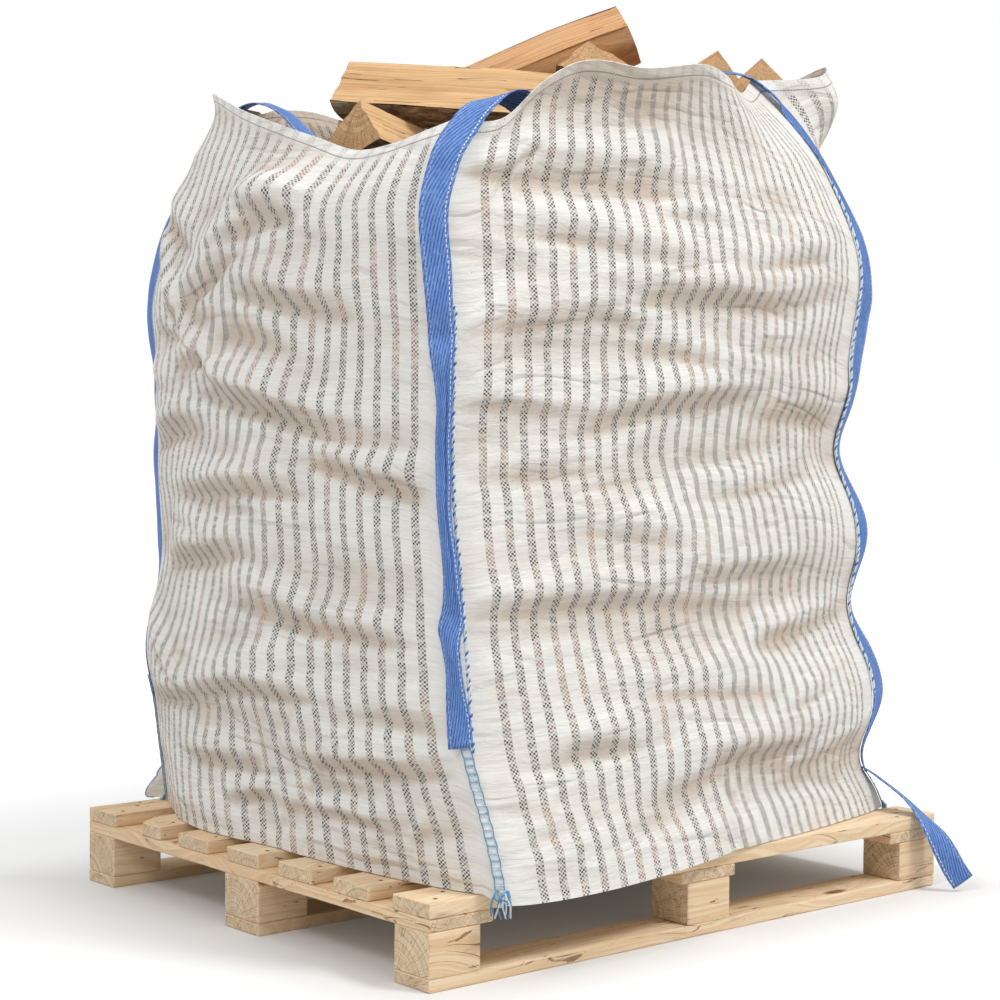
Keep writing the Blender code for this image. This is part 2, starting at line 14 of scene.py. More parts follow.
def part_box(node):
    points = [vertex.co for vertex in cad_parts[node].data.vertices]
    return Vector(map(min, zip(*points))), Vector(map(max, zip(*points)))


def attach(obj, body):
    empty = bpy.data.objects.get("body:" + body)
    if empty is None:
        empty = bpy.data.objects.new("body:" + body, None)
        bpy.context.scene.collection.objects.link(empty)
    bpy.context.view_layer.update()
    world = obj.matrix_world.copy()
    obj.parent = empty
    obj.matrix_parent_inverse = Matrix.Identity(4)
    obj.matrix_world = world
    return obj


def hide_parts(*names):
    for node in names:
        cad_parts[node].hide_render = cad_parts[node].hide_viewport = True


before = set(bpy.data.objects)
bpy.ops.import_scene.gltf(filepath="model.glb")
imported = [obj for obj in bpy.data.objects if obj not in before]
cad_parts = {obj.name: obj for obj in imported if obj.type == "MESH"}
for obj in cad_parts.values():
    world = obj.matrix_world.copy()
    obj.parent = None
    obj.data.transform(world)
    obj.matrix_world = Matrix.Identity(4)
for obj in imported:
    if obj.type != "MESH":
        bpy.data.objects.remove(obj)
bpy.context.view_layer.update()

TURN = 2 * math.pi
UP = (0.0, 0.0, 1.0)


# ---------------------------------------------------------------- mesh helpers

def linked(name, data):
    """A new object in the scene."""
    made = bpy.data.objects.new(name, data)
    bpy.context.scene.collection.objects.link(made)
    return made


def grid_faces(rows, columns, closed=False):
    """Quads over a grid of points stored row by row."""
    index = np.arange(rows * columns).reshape(rows, columns)
    if closed:
        index = np.concatenate([index, index[:, :1]], axis=1)
    corners = (index[:-1, :-1], index[:-1, 1:], index[1:, 1:], index[1:, :-1])
    return np.stack(corners, axis=-1).reshape(-1, 4)


class Mould:
    """Collects patches of vertices and faces, with attributes, for one mesh."""

    def __init__(self):
        self.vertices, self.faces, self.slots = [], [], []
        self.attributes = {}
        self.count = 0

    def add(self, vertices, faces, slot=0, **attributes):
        vertices = np.asarray(vertices, dtype=float).reshape(-1, 3)
        for name, values in attributes.items():
            self.attributes.setdefault(name, []).append((self.count, np.asarray(values, float)))
        self.vertices.append(vertices)
        self.faces += [(np.asarray(face) + self.count).tolist() for face in faces]
        self.slots += [slot] * len(faces)
        self.count += len(vertices)

    def grid(self, points, closed=False, slot=0, flip=False, **attributes):
        """A patch of rows x columns x 3 points; its attributes are as wide, or one number."""
        rows, columns = points.shape[:2]
        faces = grid_faces(rows, columns, closed)
        flat = {}
        for name, values in attributes.items():
            values = np.asarray(values, float)
            values = np.full((rows, columns), values) if values.ndim == 0 else values
            flat[name] = values.reshape(rows * columns, -1)
        self.add(points, faces[:, ::-1] if flip else faces, slot, **flat)

    def piece(self, name, materials, replaced=()):
        """The finished object, riding on the one body."""
        mesh = bpy.data.meshes.new(name)
        mesh.from_pydata(np.concatenate(self.vertices).tolist(), [], self.faces)
        for material in materials:
            mesh.materials.append(material)
        mesh.polygons.foreach_set("material_index", self.slots)
        mesh.polygons.foreach_set("use_smooth", [True] * len(self.faces))
        for key, chunks in self.attributes.items():
            wide = chunks[0][1].shape[1] == 3
            table = np.zeros((self.count, 3 if wide else 1), dtype=np.float32)
            for start, values in chunks:
                table[start:start + len(values)] = values
            layer = mesh.attributes.new(key, "FLOAT_VECTOR" if wide else "FLOAT", "POINT")
            layer.data.foreach_set("vector" if wide else "value", table.ravel())
        mesh.update()
        made = linked(name, mesh)
        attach(made, "root")
        if replaced:
            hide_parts(*replaced)
        return made


def metres(rows):
    """A table written in millimetres, or in thousandths of a whole."""
    return np.array(rows, float) / 1000


def clip01(values):
    return np.clip(values, 0, 1)


def bump_of(t):
    """A rounded bump: 1 at 0, and 0 from -1 and 1 on."""
    return np.clip(1 - t * t, 0, None) ** 2


def smoothed(values, rounds):
    """Rows evened out with their neighbours, in place; the first and last row stay."""
    for _ in range(rounds):
        values[1:-1] = (values[:-2] + values[2:] + 2 * values[1:-1]) / 4
    return values


def unit(vectors):
    return vectors / np.maximum(np.linalg.norm(vectors, axis=-1, keepdims=True), 1e-9)


def grid_cross(points):
    """A grid's normals, not of unit length."""
    return np.cross(np.gradient(points, axis=1), np.gradient(points, axis=0))


def run_along(points):
    """Distance along a line of points, from its start."""
    steps = np.linalg.norm(np.diff(points, axis=0), axis=1)
    return np.concatenate([[0], np.cumsum(steps)])


def columns_at(spots, knots, table):
    """Each column of a table over knots, read at spots on straight lines."""
    return np.stack([np.interp(spots, knots, column) for column in table.T], -1)


def shrunk(ring, shares):
    """Copies of a ring drawn in to its middle by each share."""
    return ring * (1 - shares) + ring.mean(0) * shares


def smooth_through(knots, position):
    """Smooth curve through knots of (position, values...), read at an array of positions."""
    table = np.array(knots, dtype=float)
    places, values = table[:, 0], table[:, 1:]
    position = np.clip(position, places[0], places[-1])
    slopes = np.gradient(values, places, axis=0)
    index = np.clip(np.searchsorted(places, position) - 1, 0, len(places) - 2)
    span = (places[index + 1] - places[index])[..., None]
    s = (position - places[index])[..., None] / span
    return ((2 * s**3 - 3 * s**2 + 1) * values[index]
            + (s**3 - 2 * s**2 + s) * span * slopes[index]
            + (3 * s**2 - 2 * s**3) * values[index + 1]
            + (s**3 - s**2) * span * slopes[index + 1])


def field(seed, *coordinates, octaves=2):
    """Smooth noise of about -1 to 1 from a seeded lattice, read at arrays of coordinates."""
    lattice = np.random.default_rng(seed).uniform(-1, 1, (64, 64, 64))
    spots = [np.asarray(c, dtype=float) for c in coordinates]
    while len(spots) < 3:
        spots.append(np.zeros_like(spots[0]))
    spots = np.broadcast_arrays(*spots)
    total, weight, size = 0.0, 1.0, 0.0
    for octave in range(octaves):
        whole = [np.floor(s * 2**octave + 17.3 * octave).astype(int) for s in spots]
        part = [s * 2**octave + 17.3 * octave - w for s, w in zip(spots, whole)]
        ease = [p * p * (3 - 2 * p) for p in part]
        value = 0.0
        for corner in np.ndindex(2, 2, 2):
            share = 1.0
            for e, d in zip(ease, corner):
                share = share * (e if d else 1 - e)
            x, y, z = ((w + d) % 64 for w, d in zip(whole, corner))
            value = value + share * lattice[x, y, z]
        total = total + weight * value
        size += weight
        weight *= 0.5
    return total / size * 1.6


# ---------------------------------------------------------------- materials

def shade(red, green, blue):
    """A colour given as it looks on screen, 0 to 255, as the shader wants it."""
    def linear(value):
        value /= 255
        return value / 12.92 if value <= 0.04045 else ((value + 0.055) / 1.055) ** 2.4
    return (linear(red), linear(green), linear(blue), 1.0)


class Signal:
    """A node's output, reckoned with like a number."""

    def __init__(self, nodes, socket):
        self.nodes, self.socket = nodes, socket

    def __add__(self, other):
        return self.nodes.sum("ADD", self, other)

    def __sub__(self, other):
        return self.nodes.sum("SUBTRACT", self, other)

    def __mul__(self, other):
        return self.nodes.sum("MULTIPLY", self, other)

    def __abs__(self):
        return self.nodes.sum("ABSOLUTE", self)


class Nodes:
    """Short hand for one node tree."""

    def __init__(self, tree):
        self.tree = tree

    def feed(self, socket, value):
        if isinstance(value, Signal):
            self.tree.links.new(value.socket, socket)
        else:
            socket.default_value = value

    def node(self, kind, inputs, output=0, **settings):
        made = self.tree.nodes.new(kind)
        for key, value in settings.items():
            setattr(made, key, value)
        for socket, value in inputs.items():
            self.feed(made.inputs[socket], value)
        return Signal(self, made.outputs[output])

    def sum(self, operation, a, b=0.0, c=0.0):
        return self.node("ShaderNodeMath", {0: a, 1: b, 2: c}, operation=operation)

    def sine(self, angle):
        return self.sum("SINE", angle)

    def attribute(self, name, output="Fac"):
        return self.node("ShaderNodeAttribute", {}, output, attribute_name=name)

    def parts(self, vector):
        made = self.tree.nodes.new("ShaderNodeSeparateXYZ")
        self.feed(made.inputs[0], vector)
        return [Signal(self, output) for output in made.outputs]

    def vector(self, x, y, z=0.0):
        return self.node("ShaderNodeCombineXYZ", {0: x, 1: y, 2: z})

    def stretch(self, vector, scales):
        return self.node("ShaderNodeVectorMath", {0: vector, 1: scales}, operation="MULTIPLY")

    def noise(self, vector, detail=2.0, roughness=0.5, distortion=0.0, scale=1.0):
        return self.node("ShaderNodeTexNoise", {"Vector": vector, "Scale": scale, "Detail": detail,
                                                "Roughness": roughness, "Distortion": distortion})

    def grain(self, vector, scales, *settings):
        """Noise that is scaled by its own number along each axis."""
        return self.noise(self.stretch(vector, scales), *settings)

    def cells(self, vector, scale=1.0):
        """Distance to the nearest of scattered points."""
        return self.node("ShaderNodeTexVoronoi", {"Vector": vector, "Scale": scale}, "Distance")

    def remap(self, value, low, high, start=0.0, end=1.0, kind="SMOOTHSTEP"):
        return self.node("ShaderNodeMapRange", {0: value, 1: low, 2: high, 3: start, 4: end},
                         interpolation_type=kind)

    def ramp(self, value, *stops):
        """Colours at places along a value: place, red, green, blue."""
        made = self.tree.nodes.new("ShaderNodeValToRGB")
        self.feed(made.inputs[0], value)
        elements = made.color_ramp.elements
        while len(elements) < len(stops):
            elements.new(0.5)
        for element, (place, *colour) in zip(elements, stops):
            element.position = place
            element.color = shade(*colour)
        return Signal(self, made.outputs[0])

    def mix(self, share, a, b, blend="MIX"):
        made = self.tree.nodes.new("ShaderNodeMix")
        made.data_type = "RGBA"
        made.blend_type = blend
        self.feed(made.inputs[0], share)
        self.feed(made.inputs[6], a)
        self.feed(made.inputs[7], b)
        return Signal(self, made.outputs[2])

    def coat(self, colour, value, span, *rgb):
        """A second colour over the first, by a value: from and to, and its share at each."""
        return self.mix(self.remap(value, *span), colour, shade(*rgb))

    def bump(self, height, distance, normal=None):
        inputs = {"Height": height, "Distance": distance}
        if normal is not None:
            inputs["Normal"] = normal
        return self.node("ShaderNodeBump", inputs)

    def seen(self):
        """1 for rays from the camera, from gloss and through glass, 0 for light on a surface."""
        path = self.tree.nodes.new("ShaderNodeLightPath")
        camera, gloss, glass = (Signal(self, path.outputs[name]) for name in
                                ("Is Camera Ray", "Is Glossy Ray", "Is Transmission Ray"))
        return self.sum("MAXIMUM", self.sum("MAXIMUM", camera, gloss), glass)


class Finish(Nodes):
    """One procedural material."""

    def __init__(self, name, roughness=0.8, specular=0.3):
        self.material = bpy.data.materials.new(name)
        self.material.use_nodes = True
        super().__init__(self.material.node_tree)
        self.shader = self.tree.nodes["Principled BSDF"]
        self.shader.inputs["Roughness"].default_value = roughness
        self.shader.inputs["Specular IOR Level"].default_value = specular

    def done(self, colour, normal=None):
        self.feed(self.shader.inputs["Base Color"], colour)
        if normal is not None:
            self.feed(self.shader.inputs["Normal"], normal)
        return self.material


NET_PITCH = 0.0064
NET_ACROSS = 0.0071
STRIPE_PITCH = 0.0390
STRIPE_HALF_SHARE = 0.195
HEM_STITCH = 0.0195


def fabric_material():
    """White woven tape with netted stripes; the wood behind and painted shade of the bag's dark
    inside show through the net, and painted shade lies in its hollows.
    """
    f = Finish("woven_fabric", roughness=0.62, specular=0.35)
    stripe, along, across = f.parts(f.attribute("weave", "Vector"))
    hollow, hem = f.attribute("hollow"), f.attribute("hem")
    cloth = f.vector(across, along)
    patches = f.grain(cloth, (3.0, 9.0, 1.0))

    # The net of each stripe, and what shows through its holes: wood colours, and painted shade for
    # the dark inside of the bag.
    offset = f.sum("WRAP", stripe, 0.5, -0.5)
    band = f.remap(abs(offset), STRIPE_HALF_SHARE - 0.012, STRIPE_HALF_SHARE + 0.012, 1.0, 0.0)
    lattice = (f.sine(offset * (STRIPE_PITCH * TURN / NET_ACROSS))
               * f.sine(along * (TURN / NET_PITCH)))
    uneven = f.noise(f.vector(stripe * 2.0, along * 140.0), 2.0, 0.6)
    hole = f.remap(lattice, -0.06, 0.16) * band * f.remap(hem, 0.026, 0.034, 0.25, 1.0)
    hole = hole * f.remap(uneven, 0.38, 0.56, 0.30, 1.0)
    behind = f.noise(f.vector(f.sum("ROUND", stripe) * 0.45, along * 9.0, across * 2.0), 3.0, 0.6)
    # The near-black stops of this ramp are painted shade of the bag's inside behind the net.
    inside = f.ramp(behind, (0.26, 118, 114, 108), (0.38, 34, 31, 29), (0.52, 30, 27, 25),
                    (0.57, 122, 80, 54), (0.64, 176, 126, 90), (0.72, 92, 88, 84))

    # White tape with painted shade, beige in its hollows and under its folds, warm patches and
    # bands that are partly painted shade, and rare lines and specks.
    ribs = f.grain(cloth, (12.0, 330.0, 1.0), 2.0, 0.6)
    bands = f.grain(cloth, (2.2, 34.0, 1.0), 3.0, 0.6)
    white = f.mix(f.remap(ribs, 0.30, 0.70), shade(228, 226, 221), shade(240, 239, 235))
    painted_shade_and_tint = f.remap(patches, 0.48, 0.66) * 0.24 + f.remap(bands, 0.50, 0.70) * 0.16 + hollow * 0.85
    # The beige laid here is painted shade: mostly from the cloth's hollows and undersides, partly
    # from the warm patches and bands.
    white = f.mix(f.sum("MINIMUM", painted_shade_and_tint, 0.95), white, shade(200, 185, 170))
    line = abs(f.grain(cloth, (1.0, 9.0, 1.0), 0.5) - 0.5)
    rare = f.remap(line, 0.0, 0.0030, 0.34, 0.0) * f.remap(patches, 0.50, 0.60)
    white = f.mix(rare, white, shade(150, 146, 142))
    white = f.coat(white, f.cells(cloth, 16.0), (0.012, 0.022, 0.65, 0.0), 96, 88, 78)
    threads = f.mix(band * 0.25, white, shade(205, 201, 194))
    colour = f.mix(hole * 0.96, threads, inside)

    # The hem's stitch line.
    dash = f.remap(f.sine(across * 1150.0), -0.6, -0.2, 0.45, 1.0)
    thread = f.remap(abs(hem - HEM_STITCH), 0.0006, 0.0017, 1.0, 0.0) * dash
    colour = f.mix(thread * 0.8, colour, shade(118, 116, 114))

    # Relief: tape, ribs, holes, crumples and pinched creases.
    tape = f.sine(across * 2600.0) * f.sine(along * 2600.0)
    relief = tape * 0.07 + ribs * 0.35 - hole * 0.8 - thread * 0.8
    crumple = f.grain(cloth, (9.0, 38.0, 1.0), 4.0, 0.62, 0.4)
    crease = abs(f.grain(cloth, (3.6, 15.0, 1.0), 1.5, 0.5, 0.5) - 0.5)
    pinch = f.remap(crease, 0.0, 0.10, 0.0, 1.0, "LINEAR") * f.remap(patches, 0.36, 0.62, 0.25, 1.0)
    return f.done(colour, f.bump(relief, 0.0007, f.bump(crumple, 0.0055, f.bump(pinch, 0.0036))))


def webbing_material():
    """Blue twill webbing with a white stitch line inside each edge."""
    f = Finish("blue_webbing", roughness=0.66, specular=0.3)
    across, along, sewn = f.parts(f.attribute("webbing", "Vector"))
    flat = f.vector(across, along)
    slant = across * 1150.0 - along * 330.0
    broken = f.noise(f.vector(slant * 0.34, along * 105.0), 2.0, 0.6)
    ridge = f.sine(slant) * f.remap(broken, 0.40, 0.58, 0.10, 1.0)
    fuzz = f.noise(flat, 3.0, 0.7, scale=420.0)
    fade = f.grain(flat, (30.0, 14.0, 1.0))
    colour = f.mix(f.remap(ridge, -0.9, 0.9), shade(46, 88, 166), shade(126, 165, 224))
    colour = f.coat(colour, fuzz, (0.50, 0.75, 0.0, 0.5), 158, 178, 222)
    colour = f.coat(colour, fade, (0.35, 0.65, 0.0, 0.30), 54, 88, 158)
    stitch = f.remap(abs(abs(across) - 0.0182), 0.0006, 0.0013, 1.0, 0.0)
    stitch = stitch * f.remap(f.sine(along * 800.0), -0.55, -0.25)
    stitch = stitch * f.remap(across, -0.001, 0.001, 0.35, 1.0) * sewn
    colour = f.mix(stitch, colour, shade(226, 232, 240))
    return f.done(colour, f.bump(ridge * 0.5 + fuzz * 0.6 + stitch * 1.2, 0.0009))


def thread_material():
    """Sewing threads: pale tape, light blue threads and a two-coloured overlock chain."""
    f = Finish("seam_thread", roughness=0.75)
    turn, along, tint = f.parts(f.attribute("webbing", "Vector"))
    twist = f.sine(along * 560.0 + turn)
    fuzz = f.noise(f.vector(turn, along * 300.0), 2.0, scale=2.0)
    colour = f.ramp(tint, (0.0, 222, 230, 234), (0.3, 120, 172, 200), (0.6, 70, 128, 190),
                    (1.0, 56, 88, 164))
    chain = f.remap(twist, -0.2, 0.3) * f.remap(tint, 0.45, 0.55)
    colour = f.mix(chain, colour, shade(224, 232, 238))
    colour = f.coat(colour, fuzz, (0.5, 0.8, 0.0, 0.3), 150, 184, 208)
    return f.done(colour, f.bump(twist, 0.0006))


def split_wood_material(name, pale, deep, streak):
    """Freshly split hardwood: grain lines along the log, fine cracks, darker streaks."""
    f = Finish(name, roughness=0.72)
    wood, tone = f.attribute("wood", "Vector"), f.attribute("tone")
    along, side, up = f.parts(wood)
    depth = f.sum("SQRT", side * side + up * up) + f.grain(wood, (5.0, 24.0, 24.0)) * 0.010
    rings = f.noise(f.vector(along * 2.5, depth * 260.0, tone), 3.0, 0.65)
    fibre = f.grain(wood, (16.0, 700.0, 700.0), 3.0, 0.7)
    broad = f.grain(wood, (4.0, 22.0, 22.0))
    colour = f.mix(f.remap(rings, 0.34, 0.66), pale, deep)
    colour = f.mix(f.remap(broad, 0.52, 0.74, 0.0, 0.55), colour, streak)
    colour = f.mix(f.remap(fibre, 0.56, 0.76, 0.0, 0.40), colour, streak)
    colour = f.coat(colour, fibre, (0.42, 0.26, 0.0, 0.35), 244, 214, 168)
    crack = f.noise(f.vector(along * 7.0, depth * 150.0, tone * 3.0), 1.0)
    crack = f.remap(abs(crack - 0.32), 0.0, 0.020, 0.85, 0.0)
    colour = f.mix(crack, colour, shade(88, 58, 36))
    warmth = f.mix(f.remap(tone, 0.0, 1.0), shade(255, 251, 242), shade(240, 214, 200))
    colour = f.mix(0.75, colour, warmth, "MULTIPLY")
    return f.done(colour, f.bump(fibre * 0.6 + rings - crack, 0.0018))


def end_grain_material(name, pale, deep, dirt=0.5):
    """Sawn end: growth rings round the pith, rays and drying cracks from it."""
    f = Finish(name, roughness=0.85)
    wood, tone = f.attribute("wood", "Vector"), f.attribute("tone")
    _, side, up = f.parts(wood)
    radius = f.sum("SQRT", side * side + up * up)
    depth = radius + f.grain(wood, (18.0, 18.0, 18.0)) * 0.006
    rings = f.noise(f.vector(depth * 380.0, tone), 2.0, 0.6)
    rays = f.noise(f.vector(f.sum("ARCTAN2", up, side) * 24.0, radius * 14.0, tone), 2.0, 0.6)
    grit = f.grain(wood, (700.0, 700.0, 700.0))
    colour = f.mix(f.remap(rings, 0.35, 0.65), pale, deep)
    colour = f.mix(f.remap(grit, 0.52, 0.75, 0.0, dirt), colour, shade(140, 100, 64))
    crack = f.remap(abs(rays - 0.5), 0.0, 0.014, 0.7, 0.0)
    colour = f.mix(crack, colour, shade(104, 68, 40))
    return f.done(colour, f.bump(rings * 0.7 + grit - crack, 0.0014))


def bark_material():
    """Rough dark bark with paler scales and a little grey lichen."""
    f = Finish("firewood_bark", roughness=0.95)
    wood = f.attribute("wood", "Vector")
    plates = f.cells(f.stretch(wood, (28.0, 75.0, 75.0)))
    grain = f.grain(wood, (60.0, 160.0, 160.0), 4.0, 0.7)
    patch = f.grain(wood, (14.0, 26.0, 26.0), 3.0, 0.6)
    colour = f.ramp(grain, (0.30, 96, 76, 60), (0.48, 150, 124, 98), (0.64, 194, 170, 140))
    colour = f.coat(colour, plates, (0.40, 0.75, 0.0, 0.6), 88, 68, 54)
    colour = f.coat(colour, patch, (0.54, 0.68, 0.0, 0.6), 192, 184, 162)
    return f.done(colour, f.bump(grain - plates * 0.8, 0.006))


def pine_material():
    """Sawn pallet pine: pale, with knots, long grain and some dirt."""
    f = Finish("pallet_pine", roughness=0.8)
    wood, tone = f.attribute("wood", "Vector"), f.attribute("tone")
    along, side, up = f.parts(wood)
    knot = f.cells(f.vector(along * 3.4 + tone * 40.0, side * 9.0, up * 9.0))
    pull = f.remap(knot, 0.0, 0.55, 1.0, 0.0)
    wander = f.grain(wood, (1.4, 12.0, 12.0))
    depth = side + up * 0.8 + (wander * 0.05 + pull * 0.035)
    rings = f.noise(f.vector(along * 1.2, depth * 190.0, tone), 2.0, 0.6)
    fibre = f.grain(wood, (22.0, 620.0, 620.0), 3.0, 0.7)
    colour = f.mix(f.remap(rings, 0.36, 0.66), shade(247, 228, 200), shade(234, 205, 168))
    colour = f.coat(colour, fibre, (0.54, 0.78, 0.0, 0.35), 196, 160, 120)
    stain = f.grain(wood, (5.0, 16.0, 16.0), 4.0, 0.65)
    colour = f.coat(colour, stain, (0.58, 0.76, 0.0, 0.5), 156, 132, 106)
    colour = f.coat(colour, knot, (0.075, 0.13, 0.9, 0.0), 132, 78, 42)
    colour = f.coat(colour, knot, (0.02, 0.06, 0.7, 0.0), 74, 42, 26)
    warmth = f.mix(tone, shade(255, 252, 246), shade(246, 232, 216))
    colour = f.mix(0.8, colour, warmth, "MULTIPLY")
    torn = f.remap(f.grain(wood, (11.0, 44.0, 44.0), 4.0, 0.7, 0.6), 0.635, 0.660, 0.0, 0.75)
    colour = f.mix(torn, colour, shade(120, 84, 58))
    check = f.noise(f.vector(along * 3.0, depth * 60.0, tone), 0.5, 0.5)
    check = f.remap(abs(check - 0.5), 0.0, 0.014, 0.75, 0.0) * f.remap(stain, 0.52, 0.60)
    colour = f.mix(check, colour, shade(98, 68, 44))
    colour = f.coat(colour, f.cells(wood, 34.0), (0.03, 0.06, 0.6, 0.0), 110, 82, 60)
    return f.done(colour, f.bump(rings * 0.6 + fibre * 0.7 - (torn + check), 0.0013))


def steel_material():
    """Dull, slightly rusted nail heads."""
    f = Finish("nail_steel", roughness=0.55)
    f.shader.inputs["Metallic"].default_value = 0.7
    rust = f.noise(f.attribute("wood", "Vector"), 3.0, scale=900.0)
    return f.done(f.mix(f.remap(rust, 0.4, 0.6), shade(92, 88, 84), shade(96, 66, 48)))


# ---------------------------------------------------------------- bag

# The bag's own shape, as in the CAD: corner seams, bulges of the sides and the hem. Tables in
# metres(...) are written in millimetres, and fractions and slopes in thousandths.
FLOOR_LEVEL = 0.1352
DECK_HALF = (0.600, 0.500)
SHOULDER_HEIGHT = 1.130
RIM_PULL = 2.6
SIDE_FULLNESS = 0.75
SIDES = ("front", "right", "back", "left")
# Height, x, y.
CORNER_SEAMS = {
    "front": metres((
        (100, -484, -533), (210, -500, -519), (370, -533, -491), (570, -551, -475),
        (770, -560, -467), (1000, -560, -466), (1210, -560, -455), (1400, -540, -440))),
    "right": metres((
        (130, 552, -394), (210, 532, -376), (360, 566, -405), (510, 515, -361), (650, 538, -380),
        (800, 492, -342), (930, 523, -368), (1160, 541, -382), (1290, 505, -352),
        (1450, 480, -335))),
    "back": metres((
        (100, 522, 488), (400, 560, 555), (620, 535, 545), (900, 560, 565), (1160, 545, 555),
        (1450, 500, 500))),
    "left": metres((
        (130, -462, 500), (340, -455, 508), (410, -466, 516), (580, -452, 504), (750, -460, 510),
        (880, -456, 507), (1050, -463, 513), (1200, -446, 499), (1330, -420, 470),
        (1450, -400, 440))),
}
# Height, how far the middle of the side stands out.
SIDE_BULGES = {
    "front": metres((
        (100, 48), (300, 42), (450, 40), (800, 34), (1150, 42), (1450, 30))),
    "right": metres((
        (100, 45), (450, 60), (800, 52), (1150, 64), (1350, 100), (1450, 105))),
    "back": metres((
        (100, 45), (450, 58), (800, 50), (1150, 60), (1450, 40))),
    "left": metres((
        (100, 80), (450, 75), (800, 66), (1150, 68), (1450, 40))),
}
# Fraction of the side, x, y, z.
HEM = {
    "front": metres((
        (0, -505, -425, 1312), (80, -437, -462, 1318), (140, -385, -480, 1370),
        (210, -325, -487, 1408), (400, -150, -484, 1423), (600, 20, -455, 1449),
        (700, 100, -420, 1444), (800, 185, -360, 1438), (900, 262, -305, 1444),
        (1000, 335, -256, 1478))),
    "right": metres((
        (0, 335, -256, 1478), (120, 440, -268, 1494), (250, 545, -242, 1528),
        (450, 578, -40, 1490), (700, 555, 210, 1445), (880, 480, 385, 1440),
        (1000, 375, 420, 1452))),
    "back": metres((
        (0, 375, 420, 1452), (150, 260, 520, 1440), (350, 70, 545, 1443), (550, -80, 530, 1458),
        (750, -192, 500, 1448), (900, -252, 458, 1432), (1000, -302, 396, 1424))),
    "left": metres((
        (0, -302, 396, 1424), (90, -354, 432, 1438), (180, -395, 410, 1450),
        (350, -470, 200, 1392), (500, -500, 40, 1348), (620, -515, -90, 1313),
        (740, -525, -210, 1282), (840, -528, -300, 1284), (940, -520, -385, 1300),
        (1000, -505, -425, 1312))),
}
# Stripe number at fractions of each side; the stripes stand closer where a side turns away.
STRIPES = {
    "front": (
        (0.0, -2.05), (0.077, 0.0), (0.277, 5.0), (0.468, 10.0), (0.641, 15.0), (0.788, 20.0),
        (0.9, 24.0), (0.941, 26.0), (1.0, 28.6)),
    "right": (
        (0.0, -1.1), (0.045, 0.0), (0.955, 22.0), (1.0, 23.1)),
    "back": (
        (0.0, -1.3), (0.05, 0.0), (0.95, 26.0), (1.0, 27.3)),
    "left": (
        (0.0, -1.1), (0.045, 0.0), (0.381, 9.0), (0.554, 13.0), (0.707, 16.0), (0.833, 19.0),
        (0.955, 22.0), (1.0, 23.2)),
}
STRIPE_COUNT = {"front": 27, "right": 23, "back": 27, "left": 23}
# The straps bow off these corners: height, how far the cloth lies inside the seam's line.
CORNER_INSET = {
    "right": metres((
        (130, -18), (180, -16), (215, -2), (240, 4), (290, 10), (360, 25), (430, 17), (500, 6),
        (580, 10), (650, 21), (730, 10), (800, 5), (900, 12), (970, 29), (1020, 33), (1100, 31),
        (1190, 29), (1290, 12), (1450, 0))),
    "left": metres((
        (130, 30), (180, 23), (250, 9), (340, 0), (520, 4), (620, 10), (800, 10), (890, 3),
        (980, 8), (1050, 4), (1120, 10), (1220, 16), (1320, 8), (1450, 0))),
}
# Cloth that reaches past the deck's edge by more than a margin sinks beside it.
FOOT_GAP = 0.0012
OVERHANG_MARGIN = 0.012
OVERHANG_SLOPE = 0.75
OVERHANG_SINK = 0.034

FABRIC_GAUGE = 0.0016
SIM_COLUMNS = 60
SIM_ROWS = 76
FINE_COLUMNS = 96
FINE_ROWS = 190
LINING_ROWS = 50


def seam_of(corner, height):
    """Where a corner of the cloth stands at each height."""
    points = smooth_through(CORNER_SEAMS[corner], height)
    if corner in CORNER_INSET:
        points = points - unit(points) * smooth_through(CORNER_INSET[corner], height)
    return points


def body_points(side, along, height):
    """Points of a side between its two seams, before the hem pulls them."""
    a = seam_of(side, height)
    b = seam_of(SIDES[(SIDES.index(side) + 1) % 4], height)
    run = b - a
    outward = unit(np.stack([run[..., 1], -run[..., 0]], -1))
    bulge = smooth_through(SIDE_BULGES[side], height)
    share = along[..., None]
    return a + run * share + outward * bulge * (4 * share * (1 - share)) ** SIDE_FULLNESS


def bag_points(side, along, up):
    """Rows of points of the bag's outer face, from foot to hem."""
    hem = smooth_through(HEM[side], along)
    foot = body_points(side, along, np.full(along.shape, FLOOR_LEVEL))
    beyond = (np.abs(foot) - DECK_HALF).max(-1).clip(0) - OVERHANG_MARGIN
    base = np.where(beyond > 0, FLOOR_LEVEL - np.minimum(OVERHANG_SLOPE * beyond, OVERHANG_SINK),
                    FLOOR_LEVEL + FOOT_GAP)
    height = base + (hem[:, 2] - base) * up[:, None]
    body = body_points(side, np.broadcast_to(along, height.shape), height)
    pull = np.clip((height - SHOULDER_HEIGHT) / (hem[:, 2] - SHOULDER_HEIGHT), 0, None) ** RIM_PULL
    flat = body * (1 - pull[..., None]) + hem[None, :, :2] * pull[..., None]
    if side == "right":
        flap = 0.060 * bump_of((along - 0.15) / 0.16) * bump_of((height - 1.44) / 0.13)
        flat = flat + np.stack([0.76 * flap, -0.65 * flap], -1)
    if side == "left":
        sag = 0.034 * bump_of((along - 0.26) / 0.25) * bump_of((height - 0.15) / 0.28)
        flat = flat - np.stack([sag, np.zeros_like(sag)], -1)
    return np.concatenate([flat, height[..., None]], -1)


def ring_normals(points):
    """Outward normals of rings of points, closed sideways."""
    across = np.roll(points, -1, 1) - np.roll(points, 1, 1)
    return unit(np.cross(across, np.gradient(points, axis=0)))


